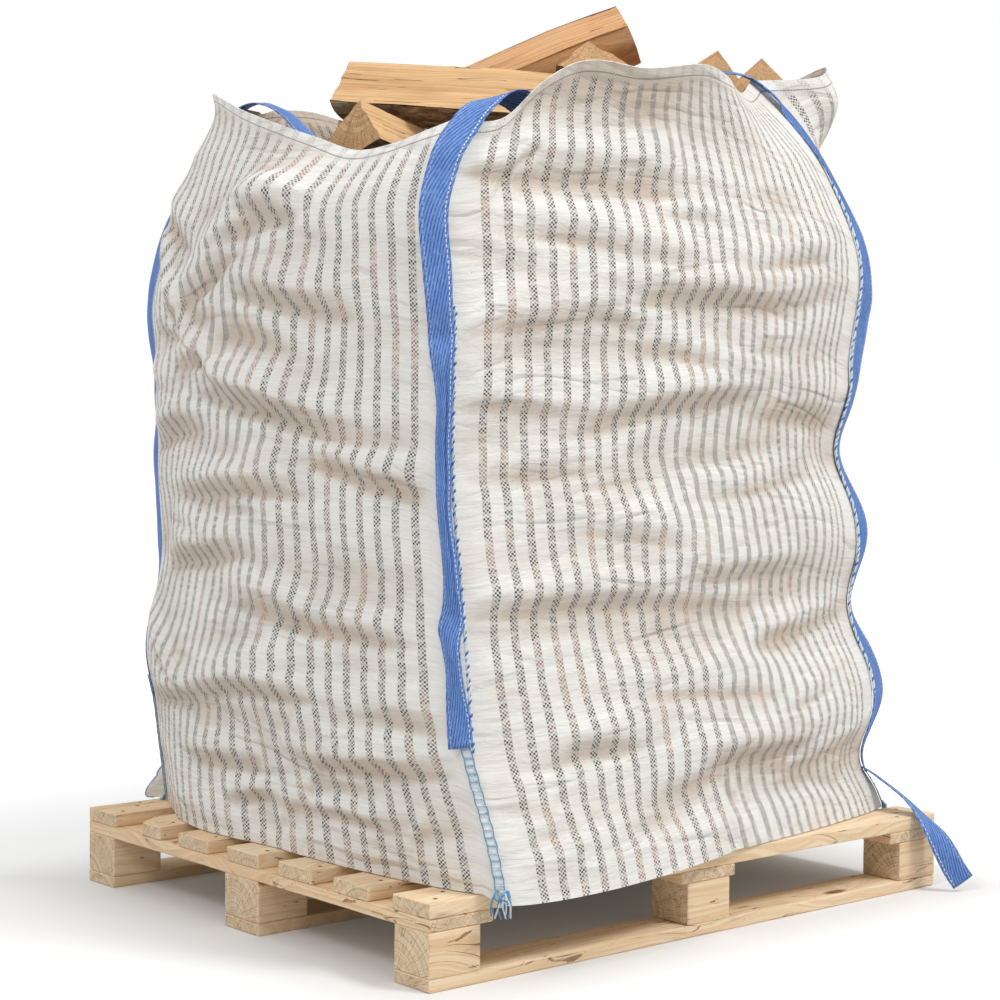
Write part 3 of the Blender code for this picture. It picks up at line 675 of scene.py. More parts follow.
def catmull(values, places, axis, closed):
    """Smooth reading of evenly spaced values at places given in steps."""
    values = np.moveaxis(values, axis, 0)
    whole = np.floor(places).astype(int)
    part = (places - whole).reshape((-1,) + (1,) * (values.ndim - 1))
    count = len(values)
    read = []
    for step in (-1, 0, 1, 2):
        index = whole + step
        read.append(values[index % count if closed else np.clip(index, 0, count - 1)])
    a, b, c, d = read
    out = b + 0.5 * part * (c - a + part * (2 * a - 5 * b + 4 * c - d
                                            + part * (3 * (b - c) + d - a)))
    return np.moveaxis(out, 0, axis)


BAG_GIRTH = 4.1
LOG_ENDS = 300


def log_ends_behind(points, rng):
    """How far the wood inside pushes the cloth out at each point of the bag's rings."""
    around = np.arange(points.shape[1]) / points.shape[1] * BAG_GIRTH
    push = np.zeros(points.shape[:2])
    for _ in range(LOG_ENDS):
        centre, level = rng.uniform(0, BAG_GIRTH), rng.uniform(0.16, 1.38)
        wide = rng.uniform(0.12, 0.18) if rng.random() < 0.35 else rng.uniform(0.035, 0.065)
        tall, turn = rng.uniform(0.028, 0.050), rng.uniform(-0.6, 0.6)
        reach = rng.uniform(0.006, 0.022)
        du = (around[None, :] - centre + BAG_GIRTH / 2) % BAG_GIRTH - BAG_GIRTH / 2
        dv = points[..., 2] - level
        x = du * math.cos(turn) + dv * math.sin(turn)
        y = dv * math.cos(turn) - du * math.sin(turn)
        edge = np.maximum(np.abs(x) / wide, np.abs(y) / tall)
        push = np.maximum(push, reach * clip01((1.25 - edge) / 0.35))
    return push


def plain_object(name, vertices, faces):
    """A bare mesh for the simulation, removed after it."""
    mesh = bpy.data.meshes.new(name)
    mesh.from_pydata(vertices.reshape(-1, 3).tolist(), [], faces.tolist())
    mesh.update()
    return linked(name, mesh)


SIM_FRAMES = 24
SIM_LOWERING = 12
SIM_SLACK = 0.050
SIM_SEED = 11
FILLING_DEPTH = 0.026
# How firmly the foot, the hem, the two rows under it and the corners are held.
HELD_ROWS = ((0, 1.0), (1, 1.0), (-1, 1.0), (-2, 0.85), (-3, 0.6))
HELD_CORNERS = 0.92
CLOTH_SETTINGS = {
    "quality": 5, "mass": 0.25, "air_damping": 3, "tension_stiffness": 25,
    "compression_stiffness": 25, "shear_stiffness": 6, "bending_stiffness": 0.10,
    "tension_damping": 8, "compression_damping": 8, "shear_damping": 8, "bending_damping": 1,
    "vertex_group_mass": "held", "pin_stiffness": 1, "shrink_min": -0.006, "use_pressure": True,
    "uniform_pressure_force": -1.0,
}
CLOTH_GRAVITY = 0.1


def settle_cloth(rest, normals):
    """Blender's cloth on the bag, cut a little too tall for its filling.

    The hem, seams and foot are held and brought down to their places, so that the cloth
    between them buckles over the log ends. Returns how far each point ends from rest.
    """
    rows, columns = rest.shape[:2]
    faces = grid_faces(rows, columns, True)
    push = log_ends_behind(rest, np.random.default_rng(SIM_SEED))
    filling = plain_object("filling", rest - normals * (FILLING_DEPTH - push)[..., None], faces)
    filling.modifiers.new("filling", "COLLISION")
    filling.collision.thickness_outer = 0.003
    filling.collision.cloth_friction = 8
    tall = rest.copy()
    tall[..., 2] = FLOOR_LEVEL + (rest[..., 2] - FLOOR_LEVEL) * (1 + SIM_SLACK)
    cloth = plain_object("settling", tall, faces)
    cloth.shape_key_add(name="tall")
    lowered = cloth.shape_key_add(name="lowered")
    lowered.data.foreach_set("co", rest.ravel().astype(np.float32))
    held = cloth.vertex_groups.new(name="held")
    index = np.arange(rows * columns).reshape(rows, columns)
    for row, weight in HELD_ROWS:
        held.add(index[row].tolist(), weight, "REPLACE")
    for corner in range(4):
        held.add(index[3:-3, corner * columns // 4].tolist(), HELD_CORNERS, "REPLACE")
    modifier = cloth.modifiers.new("cloth", "CLOTH")
    for key, value in CLOTH_SETTINGS.items():
        setattr(modifier.settings, key, value)
    modifier.settings.effector_weights.gravity = CLOTH_GRAVITY
    modifier.collision_settings.distance_min = 0.003
    modifier.point_cache.frame_start = 1
    modifier.point_cache.frame_end = SIM_FRAMES
    scene = bpy.context.scene
    scene.frame_start, scene.frame_end = 1, SIM_FRAMES
    for number in range(1, SIM_FRAMES + 1):
        lowered.value = min(1.0, (number - 1) / SIM_LOWERING)
        scene.frame_set(number)
    evaluated = cloth.evaluated_get(bpy.context.evaluated_depsgraph_get())
    settled = np.zeros(rows * columns * 3)
    evaluated.data.vertices.foreach_get("co", settled)
    scene.frame_set(1)
    for used in (cloth, filling):
        bpy.data.objects.remove(used, do_unlink=True)
    return settled.reshape(rows, columns, 3) - rest


# How much of the settled cloth's movement is kept: out, in, in at the mouth, and sideways.
MOST_OUT = 0.020
MOST_IN = 0.024
MOST_IN_AT_MOUTH = 0.008
MOUTH_FROM = (1.06, 1.16)
KEPT_SLIP = 0.35
CORNER_REACH = 0.13
CORNER_SHARE = 0.2


def cloth_shift():
    """Displacement of the cloth from the CAD surface on the simulation's grid."""
    up = np.linspace(0, 1, SIM_ROWS + 1)
    along = np.arange(SIM_COLUMNS) / SIM_COLUMNS
    rest = np.concatenate([bag_points(side, along, up) for side in SIDES], axis=1)
    normals = ring_normals(rest)
    shift = settle_cloth(rest, normals)
    depth = (shift * normals).sum(-1, keepdims=True)
    inward = np.interp(rest[..., 2:], MOUTH_FROM, (MOST_IN, MOST_IN_AT_MOUTH))
    capped = np.where(depth > 0, MOST_OUT * np.tanh(depth / MOST_OUT),
                      inward * np.tanh(depth / inward))
    shift = (shift - normals * depth) * KEPT_SLIP + normals * capped
    fade = clip01((1 - up) / 0.10) * clip01(up / 0.03)
    corner = clip01(np.minimum(along, 1 - along) / CORNER_REACH)
    corner = np.tile(CORNER_SHARE + (1 - CORNER_SHARE) * corner * corner * (3 - 2 * corner), 4)
    return shift * fade[:, None, None] * corner[None, :, None]


# Folds that the cloth keeps: fraction along the side, height, half length, slope,
# height of the ridge, width.
FOLDS = {
    "front": metres((
        (330, 1282, 520, 10, 15, 32), (520, 1222, 140, 50, 9, 14), (240, 1166, 260, -40, 10, 20),
        (760, 1180, 260, 100, 9, 20), (580, 1095, 440, 70, 12, 22), (200, 1030, 240, 120, 8, 18),
        (550, 985, 260, -60, 8, 18), (480, 908, 340, 170, 13, 22), (830, 900, 220, -120, 9, 22),
        (220, 800, 260, 50, 9, 20), (660, 780, 300, 100, 10, 22), (400, 690, 260, -100, 9, 20),
        (630, 628, 280, 30, 12, 22), (300, 583, 480, -20, 12, 20), (800, 520, 260, 120, 10, 22),
        (500, 440, 320, -50, 10, 24), (250, 360, 260, 80, 8, 22), (700, 330, 300, 60, 9, 20))),
    "left": metres((
        (620, 1075, 260, -100, 13, 24), (340, 1120, 220, 300, 12, 26),
        (560, 905, 380, -140, 19, 27), (300, 985, 160, 100, 10, 20),
        (820, 800, 220, -200, 11, 20), (450, 760, 340, 60, 12, 22), (300, 640, 260, 100, 11, 24),
        (660, 560, 340, -50, 12, 22), (480, 420, 340, 80, 10, 22), (160, 440, 200, -500, 11, 20),
        (800, 330, 240, 100, 10, 20), (150, 860, 220, 100, 12, 26), (550, 1200, 260, 160, 10, 24),
        (150, 1230, 180, -300, 10, 24), (150, 1140, 150, -850, 14, 22),
        (280, 1010, 170, -600, 13, 22))),
}
FOLD_DEPTH = {"left": 1.5}
SEEDED_FOLDS = 22


def side_coordinates(along, up, points):
    """Metres along the side and up the cloth at each point, as on the flat cloth."""
    tall = np.linalg.norm(np.diff(points, axis=0), axis=-1).sum(0)
    width = np.linalg.norm(np.diff(points[len(points) // 2], axis=0), axis=-1).sum()
    v = up[:, None] * tall
    return np.broadcast_to(along * width, v.shape), v


def kept_folds(side, points, u):
    """Ridges of the listed folds and of finer, seeded ones, in metres along the normal."""
    height = points[..., 2]
    width = float(u[0, -1])
    seed = 40 + SIDES.index(side)
    wander = 0.012 * field(seed, u * 4.0, height * 1.5, octaves=3)
    folds = list(FOLDS.get(side, ()))
    rng = random.Random(seed)
    for _ in range(SEEDED_FOLDS if folds else 2 * SEEDED_FOLDS):
        folds.append((rng.uniform(0.05, 0.95), rng.uniform(0.18, 1.28), rng.uniform(0.10, 0.28),
                      rng.uniform(-0.18, 0.18), rng.uniform(0.003, 0.007),
                      rng.uniform(0.012, 0.022)))
    total = 0.0
    for place, level, reach, slope, ridge, spread in folds:
        away = u - place * width
        off = height - level - slope * away - wander
        share = np.where(off > 0, off / (1.7 * spread), off / (0.85 * spread))
        crease = (off + 1.75 * spread) / (0.42 * spread)
        profile = np.exp(-np.clip(share, -6, 6) ** 2) - 0.45 * np.exp(-np.clip(crease, -6, 6) ** 2)
        total = total + bump_of(away / reach) * (ridge * FOLD_DEPTH.get(side, 1.0)) * profile
    fine = 0.0013 * field(seed + 9, u * 6.0, height * 24.0, octaves=3)
    soft = 0.0040 * field(seed + 19, u * 3.6, height * 8.5)
    return total + fine + soft


HEM_DEPTH = 0.024
# Share by which the bag's floor draws in, and its height over the deck.
FLOOR_RINGS = ((0.03, 0.0015), (0.12, 0.001), (0.45, 0.001))


def dressed_side(number, side, up, shift):
    """Surface, normals, painted coordinates and painted shade of one side's cloth with its folds.
    """
    along = np.linspace(0, 1, FINE_COLUMNS + 1)
    surface = bag_points(side, along, up)
    u, v = side_coordinates(along, up, surface)
    surface = surface + catmull(shift, (number + along) * SIM_COLUMNS, 1, True)
    normals = unit(grid_cross(surface))
    ease = clip01(along / 0.05) * clip01((1 - along) / 0.05)
    ends = clip01(up / 0.06) * np.clip((1 - up) / 0.09, 0.12, 1)
    depth = kept_folds(side, surface, u) * ease[None, :] * ends[:, None]
    surface = surface + normals * depth[..., None]
    hem = v[-1:] - v
    folded = clip01((HEM_DEPTH - hem) / 0.002) * FABRIC_GAUGE
    surface = surface + normals * folded[..., None]
    stripe = np.broadcast_to(np.interp(along, *zip(*STRIPES[side])), u.shape)
    stripe = np.clip(stripe, -0.5, STRIPE_COUNT[side] - 0.5)
    weave = np.stack([stripe, v + 3.0 * number, u + 1.7 * number], -1)
    # Painted shade: the cloth is darker where it sinks below its smoothed surface, and where it
    # faces down under a fold.
    soft = smoothed(surface.copy(), 30)
    hollow = clip01(((soft - surface) * normals).sum(-1) / 0.0046)
    normals = unit(grid_cross(surface))
    hollow = clip01(hollow + np.clip(-normals[..., 2] - 0.08, 0, 0.5) * 2.0)
    return surface, normals, {"weave": weave, "hollow": hollow, "hem": hem}


def make_bag():
    """The bag's cloth, side by side, with its lining near the mouth and its floor."""
    up = np.linspace(0, 1, FINE_ROWS + 1)
    shift = catmull(cloth_shift(), up * SIM_ROWS, 0, False)
    mould = Mould()
    sides = {}
    for number, side in enumerate(SIDES):
        surface, normals, marks = dressed_side(number, side, up, shift)
        mould.grid(surface, **marks)
        lining = (surface - normals * FABRIC_GAUGE)[-LINING_ROWS:]
        inner = {name: values[-LINING_ROWS:] for name, values in marks.items()}
        # The lining gets extra painted shade, as the bag's inside lies in shade.
        mould.grid(lining, flip=True, weave=inner["weave"], hollow=inner["hollow"] + 0.5,
                   hem=inner["hem"] + 0.004)
        edge = np.stack([surface[-1], (surface[-1] + lining[-1]) / 2 + (0, 0, 0.0008), lining[-1]])
        mould.grid(edge, weave=np.stack([marks["weave"][-1]] * 3), hollow=0.0, hem=0.004)
        sides[side] = {"surface": surface, "normals": normals}
    rings = [np.concatenate([sides[side]["surface"][0, :-1] for side in SIDES])]
    for inward, lift in FLOOR_RINGS:
        ring = rings[0] * (1 - inward)
        ring[:, 2] = FLOOR_LEVEL + lift
        rings.append(ring)
    middle = np.stack([rings[-1], rings[-1] * (0.001, 0.001, 1)])
    for shape in (np.array(rings), middle):
        flat = np.stack([np.full(shape.shape[:2], -0.5), shape[..., 0], shape[..., 1]], -1)
        # The bag's floor gets a fixed share of painted shade.
        mould.grid(shape, closed=True, flip=True, weave=flat, hollow=0.2, hem=1.0)
    for shape, flip in zip(ear_faces(sides), (False, True)):
        flat = np.stack([np.full(shape.shape[:2], -0.5), shape[..., 2], shape[..., 0] * 1.4], -1)
        # The spare corner of cloth gets a fixed share of painted shade.
        mould.grid(shape, flip=flip, weave=flat, hollow=0.35, hem=1.0)
    mould.piece("bag_cloth", [fabric_material()], ["bag_fabric"])
    return sides


# Spare corner of cloth: height, how far it sticks out.
EAR = metres((
    (139, 30), (145, 42), (156, 42), (168, 34), (182, 22), (196, 9), (204, 0)))


def ear_faces(sides):
    """Front and back of the spare corner of cloth that sticks out beside the left foot."""
    heights = np.linspace(EAR[0][0], EAR[-1][0], 24)
    points, out = corner_line(sides, "left", heights)
    share = np.linspace(0, 1, 12)[None, :, None]
    reach = smooth_through(EAR, heights)[:, None]
    aside = np.cross(out, UP)[:, None]
    middle = points[:, None] + (out[:, None] * share - out[:, None] * 0.004) * reach
    curl = np.sin(share * 3.0 + heights[:, None, None] * 90) * 0.0035 * share
    middle = middle + aside * curl + np.array((0, 0, -0.006)) * share * (reach > 0.02)
    middle[..., 2] = np.maximum(middle[..., 2], FLOOR_LEVEL + 0.003)
    return middle + aside * 0.0011, middle - aside * 0.0011


# ---------------------------------------------------------------- straps and seams

STRAP_WIDTH = 0.045
STRAP_GAUGE = 0.0022
STRAP_STEP = 0.008


def path_frames(points, facing):
    """Across and out directions of a strap that follows points, facing out."""
    along = unit(np.gradient(points, axis=0))
    out = unit(facing - (facing * along).sum(-1, keepdims=True) * along)
    return np.cross(along, out), out


def ribbon(mould, points, facing, width, cup):
    """A strap with rounded edges: width and cup (how far its middle stands out) may vary."""
    across, out = path_frames(points, unit(facing))
    width = np.broadcast_to(width, len(points))[:, None]
    cup = np.broadcast_to(cup, len(points))[:, None]
    share = np.linspace(-0.5, 0.5, 17)
    groove = np.clip(cup - 0.003, 0, None) * 0.7 * np.exp(-((share - 0.18) / 0.07) ** 2)
    shape = cup * (1 - 4 * share**2) - groove
    face = (points[:, None] + across[:, None] * (share * width)[..., None]
            + out[:, None] * shape[..., None])
    lift = (out * STRAP_GAUGE / 2)[:, None]
    rounds = (across * STRAP_GAUGE / 2)[:, None]
    left, right = face[:, :1] - rounds, face[:, -1:] + rounds
    loop = np.concatenate([face + lift, right, (face - lift)[:, ::-1], left], axis=1)
    real = share * STRAP_WIDTH
    side = np.concatenate([real, [0.5 * STRAP_WIDTH], real[::-1], [-0.5 * STRAP_WIDTH]])
    marks = np.stack(np.broadcast_arrays(side[None, :], run_along(points)[:, None], 1.0), -1)
    rows, count = loop.shape[:2]
    ends = [list(range(count))[::-1], list(range((rows - 1) * count, rows * count))]
    mould.add(loop, grid_faces(rows, count, True).tolist() + ends, webbing=marks.reshape(-1, 3))


def tube(mould, points, radius, tint, sides=8):
    """A round cord along points."""
    points = np.asarray(points, float)
    across, out = path_frames(points, unit(np.broadcast_to((0.3, -0.4, 0.86), points.shape)))
    angle = np.arange(sides) / sides * TURN
    loop = points[:, None] + radius * (across[:, None] * np.cos(angle)[None, :, None]
                                       + out[:, None] * np.sin(angle)[None, :, None])
    marks = np.stack(np.broadcast_arrays(angle[None, :], run_along(points)[:, None], tint), -1)
    mould.grid(loop, closed=True, flip=True, webbing=marks)


def resampled(points, spacing):
    """Points at an even spacing on a smooth curve through given ones."""
    steps = run_along(points)
    count = max(4, int(steps[-1] / spacing))
    return smooth_through(np.column_stack([steps, points]), np.linspace(0, steps[-1], count))


def corner_line(sides, corner, heights):
    """Seam points and outward directions at a corner, read at given heights."""
    here, before = sides[corner], sides[SIDES[SIDES.index(corner) - 1]]
    line = here["surface"][:, 0]
    out = here["normals"][:, 1] + before["normals"][:, -2]
    out[:, 2] = 0
    order = np.argsort(line[:, 2])
    points, outward = (smoothed(columns_at(heights, line[order, 2], table[order]), 6)
                       for table in (line, out))
    return points, unit(outward)


# Straps, lengths in millimetres: height, sideways shift to the right of the seam, stand-off,
# width, cup, turn about the strap's length in degrees.
STRAP_UNITS = (1000, 1000, 1000, 1000, 1000, 1)
STRAPS = {
    "front": (
        (362, -4, 6, 36, 1, 0), (400, 0, 7, 35, 1, 0), (440, 1, 8, 28, 4, 6),
        (480, 2, 10, 23, 6, 10), (520, 1, 10, 27, 6, 8), (545, 3, 9, 36, 3, 2),
        (556, 6, 7, 34, 1, 0), (600, 10, 10, 25, 8, 10), (650, 9, 11, 22, 10, 12),
        (700, 5, 12, 20, 11, 14), (760, 4, 12, 22, 11, 12), (820, 4, 12, 22, 11, 12),
        (880, 6, 11, 23, 10, 10), (920, 4, 10, 28, 8, 6), (965, 1, 9, 37, 2, 0),
        (978, 1, 6, 39, 0, 0), (990, 0, 9, 38, 1, 0), (1080, -4, 9, 42, 2, -4),
        (1180, -6, 9, 43, 2, -6), (1232, 2, 10, 44, 2, -6)),
    "right": (
        (204, 8, 3, 40, 0, 4), (290, 14, 7, 45, 1, 12), (360, 18, 13, 45, 1, 25),
        (430, 18, 10, 45, 0, 20), (500, 14, 4, 44, 0, 6), (580, 16, 7, 45, 1, 14),
        (650, 18, 12, 45, 1, 24), (730, 18, 7, 45, 0, 14), (800, 14, 4, 44, 0, 6),
        (900, 16, 7, 45, 1, 14), (970, 18, 13, 45, 1, 26), (1020, 18, 14, 45, 2, 28),
        (1100, 18, 12, 44, 1, 24), (1190, 14, 11, 36, 1, 24), (1260, 6, 7, 24, 1, 12),
        (1330, 2, 6, 16, 2, 0), (1420, 0, 6, 18, 2, 0)),
    "back": (
        (360, 10, 8, 43, 1, 0), (480, 8, 11, 40, 4, 6), (620, 6, 8, 45, 1, 0),
        (760, 8, 11, 42, 4, -6), (900, 6, 10, 45, 2, 0), (1100, 4, 10, 45, 2, 4),
        (1250, 2, 12, 45, 1, 0), (1340, 1, 18, 44, 1, 0), (1420, 0, 24, 44, 1, 0)),
    "left": (
        (330, -14, 3, 43, 1, -4), (420, -16, 4, 45, 1, -8), (520, -16, 4, 45, 0, -14),
        (620, -16, 8, 45, 1, -28), (720, -16, 9, 45, 1, -30), (820, -16, 9, 45, 1, -30),
        (890, -16, 6, 45, 0, -24), (980, -16, 10, 45, 1, -30), (1080, -16, 11, 45, 1, -30),
        (1180, -16, 14, 45, 1, -32), (1280, -14, 17, 45, 1, -28), (1340, -10, 20, 44, 1, -18),
        (1390, -6, 20, 44, 0, -6)),
}
# Lifting loops thrown inside: x, y, z in millimetres, then the way the outer face looks, in
# hundredths.
LOOP_UNITS = (1000, 1000, 1000, 100, 100, 100)
LOOPS = {
    "front": (
        (-548, -459, 1250, -70, -70, 10), (-527, -453, 1278, -65, -70, 30),
        (-503, -447, 1302, -50, -60, 60), (-475, -438, 1327, -30, -40, 85),
        (-444, -430, 1345, 0, -10, 100), (-408, -426, 1357, 25, 30, 90),
        (-371, -424, 1354, 35, 70, 60), (-344, -422, 1335, 40, 90, 20),
        (-330, -421, 1300, 40, 90, 0)),
    "right": (
        (372, -284, 1450, 50, -60, 60), (349, -275, 1467, 40, -40, 80),
        (327, -265, 1481, 20, -20, 100), (301, -252, 1488, 0, -30, 95),
        (277, -237, 1489, -20, -20, 90), (260, -222, 1478, -50, 30, 60),
        (254, -214, 1450, -60, 60, 20), (252, -210, 1410, -60, 60, 0)),
    "back": (
        (392, 440, 1455, 60, 60, 50), (374, 422, 1472, 30, 30, 90),
        (346, 392, 1476, -10, -10, 100), (318, 362, 1458, -50, -50, 70),
        (300, 342, 1415, -70, -70, 10), (290, 330, 1340, -70, -70, 0),
        (286, 326, 1250, -70, -70, 0)),
    "left": (
        (-330, 420, 1425, -60, 60, 50), (-310, 396, 1440, -20, 20, 100),
        (-286, 358, 1428, 10, -50, 90), (-264, 302, 1380, 10, -80, 50),
        (-258, 262, 1346, 10, -90, 40), (-256, 228, 1300, 10, -100, 20),
        (-254, 216, 1240, 10, -100, 10), (-250, 208, 1170, 10, -100, 0)),
}
# Free end of the right strap, as in the CAD.
TAIL_ROUTE = metres((
    (543, -378, 207), (547, -394, 200), (551, -418, 187), (553, -448, 172), (553, -474, 158),
    (552, -498, 142), (553, -521, 121), (560, -541, 94), (569, -553, 68), (580, -561, 43),
    (595, -570, 18)))
TAIL_WIDTH = 0.042
TAIL_FACINGS = np.array((0.42, -0.36, 0.83)), np.array((-0.62, -0.78, 0.05))
# The tail turns over from this share of its length on, within that share.
TAIL_TWIST = (0.34, 0.58)
TAIL_STEP = 0.006


def strap_on_corner(mould, sides, corner):
    """A strap sewn up a corner, then on through the points of its lifting loop."""
    table = np.array(STRAPS[corner], float) / STRAP_UNITS
    start, end = table[0, 0], table[-1, 0]
    heights = np.linspace(start, end, int((end - start) / STRAP_STEP))
    shift, stand, width, cup, turn = smooth_through(table, heights).T
    points, out = corner_line(sides, corner, heights)
    leftwards = np.cross(out, UP)
    angle = np.radians(turn)[:, None]
    facing = out * np.cos(angle) + leftwards * np.sin(angle)
    points = points + leftwards * -shift[:, None] + out * stand[:, None]
    loop = np.array(LOOPS[corner], float) / LOOP_UNITS
    tail = resampled(np.vstack([points[-1:], loop[:, :3]]), STRAP_STEP)[1:]
    knots = np.vstack([facing[-1:], loop[:, 3:]])
    share = np.linspace(0, 1, len(tail) + 1)[1:]
    ribbon(mould, np.vstack([points, tail]),
           np.vstack([facing, columns_at(share, np.linspace(0, 1, len(knots)), knots)]),
           np.concatenate([width, np.full(len(tail), width[-1])]),
           np.concatenate([cup, np.full(len(tail), cup[-1])]))


def make_straps(sides):
    """The four corner straps, and the free tail of the right one."""
    finish = webbing_material()
    for corner in SIDES:
        mould = Mould()
        strap_on_corner(mould, sides, corner)
        mould.piece(f"strap_{corner}", [finish], [f"lifting_strap_{corner}"])
    route = resampled(TAIL_ROUTE, TAIL_STEP)
    share = np.linspace(0, 1, len(route))[:, None]
    start, end = TAIL_FACINGS
    twist = clip01((share - TAIL_TWIST[0]) / TAIL_TWIST[1])
    facing = start + (end - start) * twist * twist * (3 - 2 * twist)
    mould = Mould()
    ribbon(mould, route, facing, TAIL_WIDTH - 0.001, 0.0012)
    tail = mould.piece("strap_tail", [finish], ["lifting_strap_tail"])
    length = float(np.linalg.norm(np.diff(route, axis=0), axis=1).sum())


# Which way the overlock chain lies from the seam, seen from outside: 1 is right.
CHAIN_SIDE = {"front": 1.0, "right": -1.0}
# Beside the front strap: height, distance from the seam.
CHAIN_PLACE = metres((
    (140, 14), (360, 15), (440, 22), (550, 24), (620, 24), (720, 20), (930, 20), (1000, 21),
    (1450, 21)))
# Where the chain lies on the cloth, in columns from the corner (negative: on the side before it).
CHAIN_COLUMNS = {"back": 3.5, "left": -4.3}
CHAIN_PITCH = 0.024
CHAIN_TOP = {"front": 1.03, "right": 1.30, "back": 1.30, "left": 1.30}
SEAM_FOOT = 0.146
SEAM_STEP = 0.004
# Height up to which the laddered tape shows, and how far the chain reaches below it.
STRAP_FOOT = 0.372
CHAIN_OVERLAP = 0.02
LADDER_PITCH = 0.026
THREAD_ENDS = 14


def beside_corner(sides, corner, heights, columns):
    """A line up the cloth so many columns away from a corner."""
    cloth = sides[corner] if columns > 0 else sides[SIDES[SIDES.index(corner) - 1]]
    whole = int(abs(columns))
    lines = []
    for k in (whole, whole + 1):
        column = k if columns > 0 else -1 - k
        here = cloth["surface"][:, column] + cloth["normals"][:, column] * 0.002
        lines.append(columns_at(heights, here[:, 2], here))
    return lines[0] + (lines[1] - lines[0]) * (abs(columns) - whole)


def overlock_chain(cords, chain, heights, right, out):
    """Two strands of different colour wound round the chain's line."""
    for phase, tint in ((0.0, 0.75), (math.pi, 0.02)):
        angle = heights * TURN / CHAIN_PITCH + phase
        strand = chain + right * 0.0017 * np.sin(angle)[:, None]
        tube(cords, strand + out * 0.0010 * np.cos(angle)[:, None], 0.0020, tint)


def laddered_tape(cords, tape, face, aside, heights, rng):
    """Pale tape over the seam's foot, with a cord along each edge and rungs across."""
    wave = 0.0007 * np.sin(heights * TURN / LADDER_PITCH)[:, None]
    left_edge = tape + face * 0.0022 - aside * (0.0035 - wave)
    right_edge = tape + face * 0.0022 + aside * (0.0110 + wave)
    share = np.linspace(0, 1, 5)[None, :, None]
    strip = left_edge[:, None] * (1 - share) + right_edge[:, None] * share
    marks = np.stack(np.broadcast_arrays(share[..., 0], heights[:, None], 0.0), -1)
    cords.grid(strip, webbing=marks)
    for edge in (left_edge, right_edge):
        tube(cords, edge + face * 0.0008, 0.0008, 0.43)
    for row in range(2, len(heights) - 1, 3):
        a, b = left_edge[row] + face[row] * 0.0010, right_edge[row] + face[row] * 0.0010
        b = b + np.array((0, 0, rng.uniform(-0.002, 0.002)))
        tube(cords, [a, (a + b) / 2 + face[row] * 0.0008, b], 0.0008, rng.choice((0.0, 0.26)))


def thread_ends(cords, foot, facing, aside, rng):
    """Cut ends of thread that hang at the foot of a seam."""
    for _ in range(THREAD_ENDS):
        start = foot + facing * 0.005 + aside * rng.uniform(-0.004, 0.016)
        drop = rng.uniform(0.016, 0.044)
        swing = facing * rng.uniform(0.002, 0.010) + aside * rng.uniform(-0.012, 0.012)
        middle = start + swing + np.array((0, 0, -0.55 * drop))
        end = start + swing * 0.4 + np.array((0, 0, -drop)) + aside * rng.uniform(-0.010, 0.010)
        tube(cords, resampled([start, middle, end], 0.004), 0.0015,
             rng.choice((0.0, 0.05, 0.3, 0.42)), sides=6)


def make_seams(sides):
    """Overlock chains beside the straps, laddered tape below them, and loose thread ends."""
    cords = Mould()
    rng = random.Random(3)
    for corner in SIDES:
        heights = np.arange(SEAM_FOOT, CHAIN_TOP[corner], SEAM_STEP)
        points, out = corner_line(sides, corner, heights)
        right = np.cross(UP, out)
        if corner in CHAIN_COLUMNS:
            chain = beside_corner(sides, corner, heights, CHAIN_COLUMNS[corner])
        else:
            place, lift = np.full(len(heights), 0.009), np.full(len(heights), 0.003)
            if corner == "front":
                place = smooth_through(CHAIN_PLACE, heights)[..., 0]
                lift = np.interp(heights, (0.3, 0.5), (0.003, 0.005))
            chain = points + out * lift[:, None] + right * (CHAIN_SIDE[corner] * place)[:, None]
        above, low = heights > STRAP_FOOT - CHAIN_OVERLAP, heights <= STRAP_FOOT
        overlock_chain(cords, chain[above], heights[above], right[above], out[above])
        laddered_tape(cords, points[low], out[low], right[low], heights[low], rng)
        thread_ends(cords, points[0], out[0], right[0], rng)
    ear = sum(ear_faces(sides)) / 2
    tube(cords, ear[:, -1], 0.0015, 0.34)
    aside = unit(ear[:, 0] - ear[:, -1] + 1e-6)[:, [1, 0, 2]]
    tube(cords, ear[:, -3] + 0.0014 * aside, 0.0009, 0.30)
    cords.piece("seam_threads", [thread_material()])


# ---------------------------------------------------------------- firewood

LOG_STATIONS = (0.0, 0.34, 0.67, 1.0)
SPLIT, END, BARK = 0, 1, 2
STATION_STEP = 0.0065
FACE_STEP = 0.006
END_SHARES = np.array([0.0, 0.03, 0.12, 0.3, 0.5, 0.7, 0.88, 0.995])[:, None, None]


